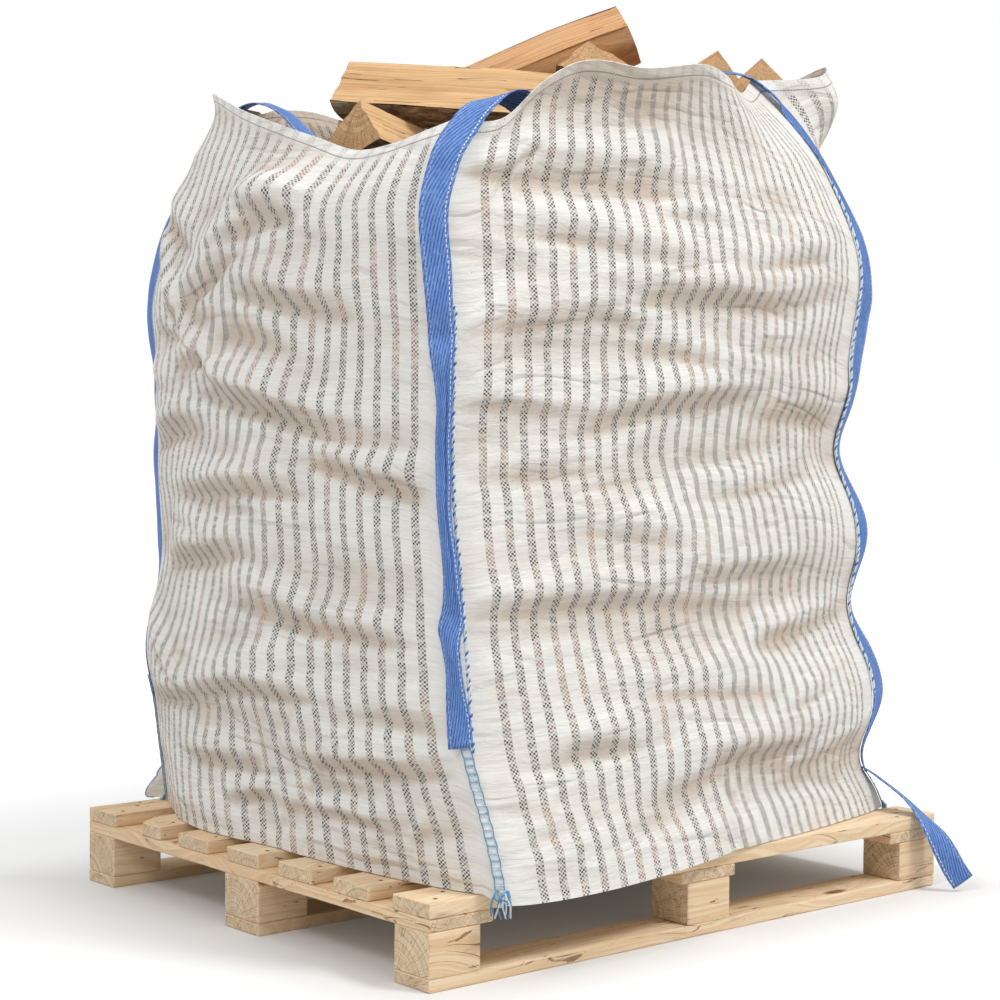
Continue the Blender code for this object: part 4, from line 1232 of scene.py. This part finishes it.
def rings_of(node):
    """The four cross-sections of a CAD log, each starting at its pith, in the same order."""
    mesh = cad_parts[node].data
    points = np.zeros(len(mesh.vertices) * 3)
    mesh.vertices.foreach_get("co", points)
    points = np.unique(points.reshape(-1, 3).round(5), axis=0)
    count = len(points) // 4
    middle = points.mean(0)
    axis = np.linalg.svd(points - middle, full_matrices=False)[2][0]
    order = np.argsort((points - middle) @ axis)
    rings = points[order].reshape(4, count, 3)
    side = unit(np.cross(axis, (0.31, 0.52, 0.79)))
    up = np.cross(axis, side)
    away = rings - rings.mean(1, keepdims=True)
    flat = np.stack([away @ side, away @ up], -1)
    for k in range(4):
        turn = np.argsort(np.arctan2(flat[k, :, 1], flat[k, :, 0]))
        rings[k], flat[k] = rings[k][turn], flat[k][turn]
    # The pith is the corner that lies about as far from all the others.
    spread = [np.delete(np.linalg.norm(flat[1] - flat[1][i], axis=1), i).std()
              for i in range(count)]
    pith = flat[1][int(np.argmin(spread))]
    for k in range(4):
        first = int(np.argmin(np.linalg.norm(flat[k] - pith, axis=1)))
        rings[k] = np.roll(rings[k], -first, axis=0)
    return rings, count == 4


def log_faces(local, square, fine, round_side):
    """The log's long faces: points of each at the four cross-sections, and its finish."""
    count = local.shape[1]
    sides = [(k, (k + 1) % count) for k in range(4)] if square else [(0, 1), (count - 1, 0)]
    faces = []
    for a, b in sides:
        steps = max(5, int(np.linalg.norm(local[1, a] - local[1, b]) / FACE_STEP * fine))
        share = np.linspace(0, 1, steps + 1)[:, None]
        faces.append((local[:, a, None] * (1 - share) + local[:, b, None] * share, SPLIT))
    if not square:
        arc = local[:, 1:]
        angle = np.unwrap(np.arctan2(arc[..., 2], arc[..., 1]), axis=1)
        radius = np.hypot(arc[..., 1], arc[..., 2])
        spots = np.linspace(0, count - 2, max(8, int((count - 2) * 3 * fine)) + 1)
        knots = np.arange(count - 1)
        rows = []
        for k in range(4):
            r, t = np.interp(spots, knots, radius[k]), np.interp(spots, knots, angle[k])
            rows.append(np.stack([np.interp(spots, knots, arc[k, :, 0]), r * np.cos(t),
                                  r * np.sin(t)], -1))
        faces.insert(1, (np.array(rows), round_side))
    return faces


def split_relief(seed, x, q, width):
    """Fibres torn along a split face: x along the log and q across it."""
    depth = (0.0014 * field(seed, x * 7, q * 150) + 0.0030 * field(seed + 1, x * 3.5, q * 34)
             - 0.0035 * clip01(field(seed + 2, x * 5, q * 60, octaves=1) - 0.35))
    edge = np.minimum(q, width - q)
    return np.minimum(depth, 0.0015) - 0.0010 * clip01(1 - edge / 0.003)


def bark_relief(seed, x, q):
    """Scales of bark with furrows between them."""
    furrows = clip01(1 - np.abs(field(seed + 4, x * 9, q * 34)) * 3.2)
    return 0.0022 * field(seed + 3, x * 22, q * 55, octaves=3) - 0.0026 * furrows + 0.0010


def carve_log(mould, rings, square, seed, tone, fine=1.0, round_side=BARK):
    """One split log over its four cross-sections: fibres on split faces, bark, sawn ends."""
    count = rings.shape[1]
    middles = rings.mean(1)
    length = float(np.linalg.norm(middles[3] - middles[0]))
    axis = unit(middles[3] - middles[0])
    origin = rings[0][0] - axis * ((rings[0][0] - middles[0]) @ axis)
    chord = rings[1][count // 2] - rings[1][0]
    side = unit(chord - axis * (chord @ axis))
    up = np.cross(axis, side)
    axes = np.stack([axis, side, up], -1)
    pith = rings[:, :1] - (side * 0.05) if square else rings[:, :1]
    out = rings - pith
    local = np.stack([out @ axis, out @ side, out @ up], -1)
    stations = np.linspace(0, 1, max(12, int(length / STATION_STEP * fine)))
    core = columns_at(stations, LOG_STATIONS, local.mean(1))
    spine = np.stack([np.interp(stations, LOG_STATIONS, (pith[:, 0] - origin) @ d)
                      for d in (axis, side, up)], -1)
    rims = {-1: [], 1: []}
    for shape, kind in log_faces(local, square, fine, round_side):
        table = np.stack([columns_at(stations, LOG_STATIONS, shape[:, j])
                          for j in range(shape.shape[1])], 1)
        run = np.gradient(table, axis=1)
        outward = unit(np.stack([np.zeros(run.shape[:2]), run[..., 2], -run[..., 1]], -1))
        if ((table - core[:, None]) * outward).sum() < 0:
            outward = -outward
        across = run_along(shape[1])
        x = np.broadcast_to((stations * length)[:, None], table.shape[:2])
        q = np.broadcast_to(across, table.shape[:2])
        depth = split_relief(seed, x, q, across[-1]) if kind == SPLIT else bark_relief(seed, x, q)
        grown = table + outward * depth[..., None]
        whole = grown + spine[:, None]
        placed = origin + whole[..., :1] * axis + whole[..., 1:2] * side + whole[..., 2:] * up
        wood = np.stack([whole[..., 0], grown[..., 1], grown[..., 2]], -1)
        facing = (grid_cross(placed) * (outward @ axes.T)).sum()
        mould.grid(placed, slot=kind, flip=bool(facing < 0), wood=wood, tone=tone)
        rims[-1].append((placed[0], wood[0]))
        rims[1].append((placed[-1], wood[-1]))
    for sign, rim in rims.items():
        placed = np.concatenate([p[:-1] for p, _ in rim])
        disc = shrunk(placed, END_SHARES)
        grain = shrunk(np.concatenate([w[:-1] for _, w in rim]), END_SHARES)
        rough = 0.0007 * field(seed + 6, grain[..., 1] * 90, grain[..., 2] * 90)
        cracks = np.arctan2(grain[..., 2], grain[..., 1]) * 3.2
        split = clip01(1 - np.abs(field(seed + 7, cracks, octaves=1)) * 9)
        inset = clip01(END_SHARES[..., 0] * 8)
        disc = disc + axis * sign * ((rough - 0.0016 * split) * inset - 0.0006 * inset)[..., None]
        tally = np.cross(np.roll(placed, -1, 0) - placed, placed.mean(0) - placed).sum(0) @ axis
        mould.grid(disc, closed=True, slot=END, flip=bool(tally * sign <= 0), wood=grain,
                   tone=tone)


def wood_finishes():
    """Finishes of a log in the order of SPLIT, END and BARK."""
    return [split_wood_material("split_firewood", shade(236, 204, 160), shade(214, 172, 124),
                                shade(178, 128, 86)),
            end_grain_material("firewood_end_grain", shade(222, 184, 138), shade(194, 150, 104)),
            bark_material()]


# Tone of single logs (0 pale to 1 reddish), how far some lie from their solids, how much
# longer one is at its foot, and the one that shows split wood all round.
TONES = {"firewood_log_rear": 0.95, "firewood_log_tip": 0.05, "firewood_log_slab": 0.30,
         "firewood_log_end": 0.35, "firewood_log_right": 0.80, "firewood_log_far": 0.75}
NUDGES = {"firewood_log_end": (-0.021, 0.018, 0.002), "firewood_log_right": (0.018, -0.016, 0.012),
          "firewood_log_far": (0.016, -0.014, 0.018)}
LONGER = {"firewood_log_tip": 0.045}
BARKLESS = "firewood_log_rear"


def make_logs(finishes):
    """The heap's single logs, each over its own solid."""
    names = sorted(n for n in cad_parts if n.startswith("firewood_log"))
    for number, name in enumerate(names):
        rings, square = rings_of(name)
        rings = rings + np.array(NUDGES.get(name, (0.0, 0.0, 0.0)))
        if name in LONGER:
            low = 0 if rings[0].mean(0)[2] < rings[3].mean(0)[2] else 3
            rings[low] += unit(rings[low].mean(0) - rings[3 - low].mean(0)) * LONGER[name]
        mould = Mould()
        carve_log(mould, rings, square, 200 + 10 * number, TONES.get(name, (number * 0.37) % 1.0),
                  round_side=SPLIT if name == BARKLESS else BARK)
        mould.piece(name.replace("firewood_log", "split_log"), finishes, [name])


# Kinds of split log: angle of the section in degrees, and steps round its bark.
LOG_KINDS = {"quarter": (88, 5), "third": (122, 6), "half": (176, 8)}
PACKED_LOGS = 40
PACKING_TRIES = 420
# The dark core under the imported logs: share of the heap's reach, depth below its top.
CORE_RINGS = ((0.98, 0.25), (0.98, 0.11), (0.8, 0.10), (0.5, 0.09), (0.2, 0.085), (0.002, 0.08))


def loose_rings(kind, length, size, rng):
    """Four cross-sections of a made-up log along X, its pith at the section's first point."""
    span, steps = LOG_KINDS[kind]
    angles = np.radians(90 - span / 2 + span * np.arange(steps + 1) / steps)
    outline = np.vstack([[0, 0], np.stack([np.cos(angles), np.sin(angles)], -1) * size])
    outline = outline - outline.mean(0)
    rings = []
    for station in LOG_STATIONS:
        scale = rng.uniform(0.94, 1.05)
        rings.append(np.column_stack([np.full(len(outline), (station - 0.5) * length),
                                      outline * scale]))
    return np.array(rings)


def pile_top(x, y):
    """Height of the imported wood's top: a heap that rises to the middle and the back."""
    return 1.170 + 0.045 * (x + y) + 0.115 * np.exp(-((x + 0.02)**2 + (y - 0.02)**2) / 0.09)


def loose_log(rng):
    """Cross-sections of a log thrown on the heap at random."""
    kind = rng.choice(tuple(LOG_KINDS))
    size = rng.uniform(0.085, 0.11) if kind != "half" else rng.uniform(0.06, 0.07)
    rings = loose_rings(kind, rng.uniform(0.32, 0.38), size, rng)
    yaw = rng.choice((10, 35, 80, 100, 140)) + rng.uniform(-12, 12)
    turn = (Matrix.Rotation(math.radians(yaw), 3, "Z")
            @ Matrix.Rotation(math.radians(rng.uniform(-8, 8)), 3, "Y")
            @ Matrix.Rotation(math.radians(rng.choice((0, 60, 150, 180, 215, 300))), 3, "X"))
    rings = rings @ np.array(turn).T
    x, y = rng.uniform(-0.42, 0.46), rng.uniform(-0.42, 0.44)
    level = pile_top(x, y) + rng.uniform(-0.035, 0.0)
    return rings + np.array((x, y, level - rings[..., 2].max()))


def make_packed_logs(finishes, sides):
    """The wood under the loose top logs, seen between them, with a dark core below."""
    hem, shoulder = (np.concatenate([sides[s]["surface"][row, :-1, :2] for s in SIDES])
                     for row in (-1, -24))
    reach = np.minimum(np.linalg.norm(hem, axis=1), np.linalg.norm(shoulder, axis=1)) - 0.05
    bearing = np.arctan2(hem[:, 1], hem[:, 0])
    order = np.argsort(bearing)
    bearing, reach = bearing[order], reach[order]
    rng = random.Random(8)
    mould = Mould()
    placed = 0
    for _ in range(PACKING_TRIES):
        if placed >= PACKED_LOGS:
            break
        rings = loose_log(rng)
        angle = np.arctan2(rings[..., 1], rings[..., 0])
        limit = np.interp(angle, bearing, reach, period=TURN)
        if (np.hypot(rings[..., 0], rings[..., 1]) < limit).all():
            carve_log(mould, rings, False, 500 + 10 * placed, rng.random(), fine=0.42)
            placed += 1
    angles = np.linspace(0, TURN, 49)[:-1]
    limit = np.interp((angles + math.pi) % (TURN) - math.pi, bearing, reach,
                      period=TURN)
    rings = []
    for share, sunk in CORE_RINGS:
        x, y = np.cos(angles) * limit * share, np.sin(angles) * limit * share
        rings.append(np.stack([x, y, pile_top(x, y) - sunk], -1))
    rings = np.array(rings)
    mould.grid(rings, closed=True, slot=BARK, wood=rings, tone=0.5)
    mould.piece("packed_logs", finishes, ["firewood_load"])


# ---------------------------------------------------------------- pallet

BROKEN_BOARD = "pallet_deck_board_6"
BROKEN_LENGTH = 0.046
BROKEN_WIDTH = 0.036
# Pieces with this in their name run along Y, all others along X.
RUNS_ALONG_Y = "stringer"
# Distances from an end, and the share by which the worn end draws in there.
END_STATIONS = np.array((0.0, 0.0006, 0.0022))
END_PULL = (1.0, 0.45, 0.0)
END_INSET = 0.0016
PLANK_SHARES = np.array([0.0, 0.06, 0.2, 0.45, 0.7, 0.995])[:, None, None]


def broken_limit(x, start, width):
    """Widest y of the broken board at x: its corner has split off."""
    away = x - start
    return np.interp(away, (0, 0.30 * BROKEN_LENGTH, 0.62 * BROKEN_LENGTH, BROKEN_LENGTH),
                     (width - BROKEN_WIDTH, width - 0.60 * BROKEN_WIDTH,
                      width - 0.45 * BROKEN_WIDTH, width))


def rounded_outline(half_wide, half_thick, radius):
    """A rounded rectangle, anticlockwise from the foot of its right side."""
    wide, thick = half_wide - radius, half_thick - radius
    sides = (((half_wide, -thick), (half_wide, thick), (wide, thick), 6),
             ((wide, half_thick), (-wide, half_thick), (-wide, thick), 13),
             ((-half_wide, thick), (-half_wide, -thick), (-wide, -thick), 6),
             ((-wide, -half_thick), (wide, -half_thick), (wide, -thick), 13))
    points = []
    for number, (start, end, centre, steps) in enumerate(sides):
        for share in np.linspace(0, 1, steps):
            points.append([a + (b - a) * share for a, b in zip(start, end)])
        for angle in (30, 60):
            turn = math.radians(90 * number + angle)
            points.append([centre[0] + radius * math.cos(turn),
                           centre[1] + radius * math.sin(turn)])
    return points


def plank_rings(length, width, thick, seed, broken):
    """Cross-sections of a sawn piece with worn, uneven edges, and where they stand."""
    inner = np.linspace(0.006, length - 0.006, max(8, int(length / 0.022)))
    if broken:
        inner = np.union1d(inner, np.linspace(0.006, 0.056, 14))
    stations = np.concatenate([END_STATIONS, inner, length - END_STATIONS[::-1]])
    pull = np.interp(stations, np.concatenate([END_STATIONS, length - END_STATIONS[::-1]]),
                     END_PULL + END_PULL[::-1])
    wear = 0.0016 + 0.0016 * np.clip(field(seed, stations * 9), -0.4, 1.0)
    rings = np.array([rounded_outline(width / 2 - drawn * END_INSET, thick / 2 - drawn * END_INSET,
                                      radius)
                      for radius, drawn in zip(np.clip(wear, 0.0009, 0.0040), pull)])
    x = np.broadcast_to(stations[:, None], rings.shape[:2])
    y, z = rings[..., 0], rings[..., 1]
    rough = 0.00035 * field(seed + 1, x * 30, (y + z * 3) * 160)
    sway = 0.0007 * field(seed + 2, x * 2.5, octaves=1)
    dent = 0.0016 * clip01(field(seed + 3, x * 14, y * 30, z * 30) - 0.55)
    shrink = 1 + (rough - dent)[..., None] / (np.abs(rings) + 0.02)
    return x, rings * np.minimum(shrink, 1.0) + np.stack([sway * 0.4, np.zeros_like(sway)], -1)


def carve_plank(name, finish, seed):
    """A sawn piece with worn, uneven edges and a slightly rough surface."""
    low, high = (np.array(corner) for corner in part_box(name))
    size, centre = high - low, (low + high) / 2
    long_axis = 1 if RUNS_ALONG_Y in name else 0
    wide_axis = 1 - long_axis
    broken = name == BROKEN_BOARD
    x, rings = plank_rings(size[long_axis], size[wide_axis], size[2], seed, broken)
    points = np.zeros(rings.shape[:2] + (3,))
    points[..., long_axis] = low[long_axis] + x
    points[..., wide_axis] = centre[wide_axis] + rings[..., 0]
    points[..., 2] = centre[2] + rings[..., 1]
    if broken:
        splinter = 0.0012 * field(seed + 4, points[..., 0] * 180, points[..., 2] * 240)
        limit = broken_limit(points[..., 0], low[0], high[1]) - 0.0012 + splinter
        points[..., 1] = np.minimum(points[..., 1], limit)
    rng = random.Random(seed)
    turned = points - centre
    wood = np.stack([turned[..., long_axis] + rng.uniform(-3, 3),
                     turned[..., wide_axis] + rng.uniform(-0.08, 0.08),
                     turned[..., 2] + rng.uniform(0.02, 0.07)], -1)
    tone = rng.random()
    mould = Mould()
    flip = long_axis == 1
    mould.grid(points, closed=True, flip=flip, wood=wood, tone=tone)
    for row, way in ((0, not flip), (-1, flip)):
        mould.grid(shrunk(points[row], PLANK_SHARES), closed=True, flip=way, slot=1,
                   wood=shrunk(wood[row], PLANK_SHARES), tone=tone)
    mould.piece(name.replace("pallet", "plank"), finish, [name])


# Nails of each joint: share of the board's width, distance from the beam's middle.
NAILS = ((0.24, -0.028), (0.76, 0.028), (0.55, 0.010))
# A nail head's rings: radius, height over the board.
NAIL_HEAD = ((0.0044, -0.0006), (0.0042, 0.0002), (0.0034, 0.0005), (0.0001, 0.0005))


def nail_head(mould, x, y, top):
    """A flat head pressed a little into the board."""
    angle = np.arange(12) / 12 * TURN
    rings = np.array([np.stack([x + radius * np.cos(angle), y + radius * np.sin(angle),
                                np.full(12, top + lift - 0.0003)], -1)
                      for radius, lift in NAIL_HEAD])
    mould.grid(rings, closed=True, wood=rings)


def make_pallet():
    """Every board, block and skid over its solid, and the nails of the deck."""
    pine = [pine_material(), end_grain_material("pine_end_grain", shade(246, 224, 192),
                                                shade(222, 192, 152), 0.3)]
    for number, name in enumerate(sorted(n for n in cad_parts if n.startswith("pallet"))):
        carve_plank(name, pine, 900 + 7 * number)
    nails = Mould()
    rng = random.Random(21)
    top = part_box("pallet_deck_board_1")[1].z
    for board in range(1, 8):
        low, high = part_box(f"pallet_deck_board_{board}")
        for column in (1, 2, 3):
            beam_low, beam_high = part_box(f"pallet_stringer_{column}")
            for across, along in NAILS:
                x = (beam_low.x + beam_high.x) / 2 + along + rng.uniform(-0.008, 0.008)
                y = low.y + (high.y - low.y) * across + rng.uniform(-0.006, 0.006)
                # This nail would sit where the broken board's corner is gone.
                if board == 6 and column == 1 and across > 0.7:
                    continue
                nail_head(nails, x, y, top)
    nails.piece("nail_heads", [steel_material()])


# ---------------------------------------------------------------- stage, light and camera

CAMERA_PLACE = (-2.603, -2.981, 0.869)
CAMERA_YAW = 49.31
CAMERA_PITCH = 2.34
CAMERA_ROLL = 0.54
CAMERA_LENS = 77.68
CAMERA_SENSOR = 36.0
# Lamps: place, size, watts, colour; each looks at the middle of the bag.
LAMPS = {
    "key": ((1.3, -3.9, 5.6), 1.6, 189, (1.0, 0.985, 0.96)),
    "fill": ((-4.6, -1.2, 4.6), 1.7, 88, (0.98, 0.99, 1.0)),
}
LAMP_AIM = (0, 0, 0.8)
FLOOR_REACH = 24.0
FLOOR_DROP = -0.0005
# The floor's own glow for the camera: under the pallet, beside it, and from 1.5 m away on; kept low
# under and near the pallet, it paints a shadow round it.
FLOOR_GLOW_BELOW = 0.04
FLOOR_GLOW_NEAR = 0.30
FLOOR_GLOW = 0.60
# Strength of the world's light from low down and from straight above.
WORLD_LOW = 0.20
WORLD_HIGH = 0.86


def make_camera():
    """A pinhole camera fitted to the pallet's corners."""
    yaw, pitch, roll = (math.radians(a) for a in (CAMERA_YAW, CAMERA_PITCH, CAMERA_ROLL))
    ahead = Vector((math.cos(yaw) * math.cos(pitch), math.sin(yaw) * math.cos(pitch),
                    -math.sin(pitch)))
    level = Vector((math.sin(yaw), -math.cos(yaw), 0))
    upright = level.cross(ahead)
    right = math.cos(roll) * level + math.sin(roll) * upright
    top = -math.sin(roll) * level + math.cos(roll) * upright
    data = bpy.data.cameras.new("camera")
    data.lens = CAMERA_LENS
    data.sensor_width = CAMERA_SENSOR
    data.clip_end = 60
    camera = linked("camera", data)
    camera.matrix_world = Matrix(((right.x, top.x, -ahead.x, CAMERA_PLACE[0]),
                                  (right.y, top.y, -ahead.y, CAMERA_PLACE[1]),
                                  (right.z, top.z, -ahead.z, CAMERA_PLACE[2]), (0, 0, 0, 1)))
    bpy.context.scene.camera = camera


def lamp(name, place, size, watts, colour):
    data = bpy.data.lights.new(name, "AREA")
    data.shape = "DISK"
    data.size = size
    data.energy = watts
    data.color = colour
    made = linked(name, data)
    made.location = place
    made.rotation_euler = (Vector(LAMP_AIM) - Vector(place)).to_track_quat("-Z", "Y").to_euler()


def make_stage():
    """A floor that looks white away from the object and keeps its shadow, with a painted shadow
    under and round the pallet; lamps and sky.
    """
    mesh = bpy.data.meshes.new("floor")
    corners = ((-1, -1), (1, -1), (1, 1), (-1, 1))
    mesh.from_pydata([(x * FLOOR_REACH, y * FLOOR_REACH, FLOOR_DROP) for x, y in corners], [],
                     [(0, 1, 2, 3)])
    floor = linked("floor", mesh)
    f = Finish("floor", roughness=1.0, specular=0.0)
    f.done(shade(222, 222, 222))
    x, y, _ = f.parts(f.node("ShaderNodeNewGeometry", {}, "Position"))
    # Painted shadow: the glow is lowest under the pallet and rises outwards, so the floor near the
    # pallet reads darker.
    away = f.sum("MAXIMUM", abs(x) - DECK_HALF[0], abs(y) - DECK_HALF[1])
    glow = (f.remap(away, -0.08, 0.30, FLOOR_GLOW_BELOW, FLOOR_GLOW_NEAR)
            + f.remap(away, 0.30, 1.50, 0.0, FLOOR_GLOW - FLOOR_GLOW_NEAR))
    f.feed(f.shader.inputs["Emission Color"], (1, 1, 1, 1))
    f.feed(f.shader.inputs["Emission Strength"], f.seen() * glow)
    mesh.materials.append(f.material)

    world = bpy.data.worlds.new("studio")
    bpy.context.scene.world = world
    world.use_nodes = True
    w = Nodes(world.node_tree)
    background = w.tree.nodes["Background"]
    background.inputs["Color"].default_value = (1, 1, 1, 1)
    height = w.parts(w.node("ShaderNodeTexCoord", {}, "Generated"))[2]
    sky = w.remap(height, -0.3, 1.0, WORLD_LOW, WORLD_HIGH, "LINEAR")
    w.feed(background.inputs["Strength"], w.node("ShaderNodeMix", {0: w.seen(), 2: sky, 3: 1.0}))
    for name, settings in LAMPS.items():
        lamp(name, *settings)
    bpy.context.scene.view_settings.view_transform = "Standard"


make_camera()
make_stage()
sides = make_bag()
make_straps(sides)
make_seams(sides)
finishes = wood_finishes()
make_logs(finishes)
make_packed_logs(finishes, sides)
make_pallet()
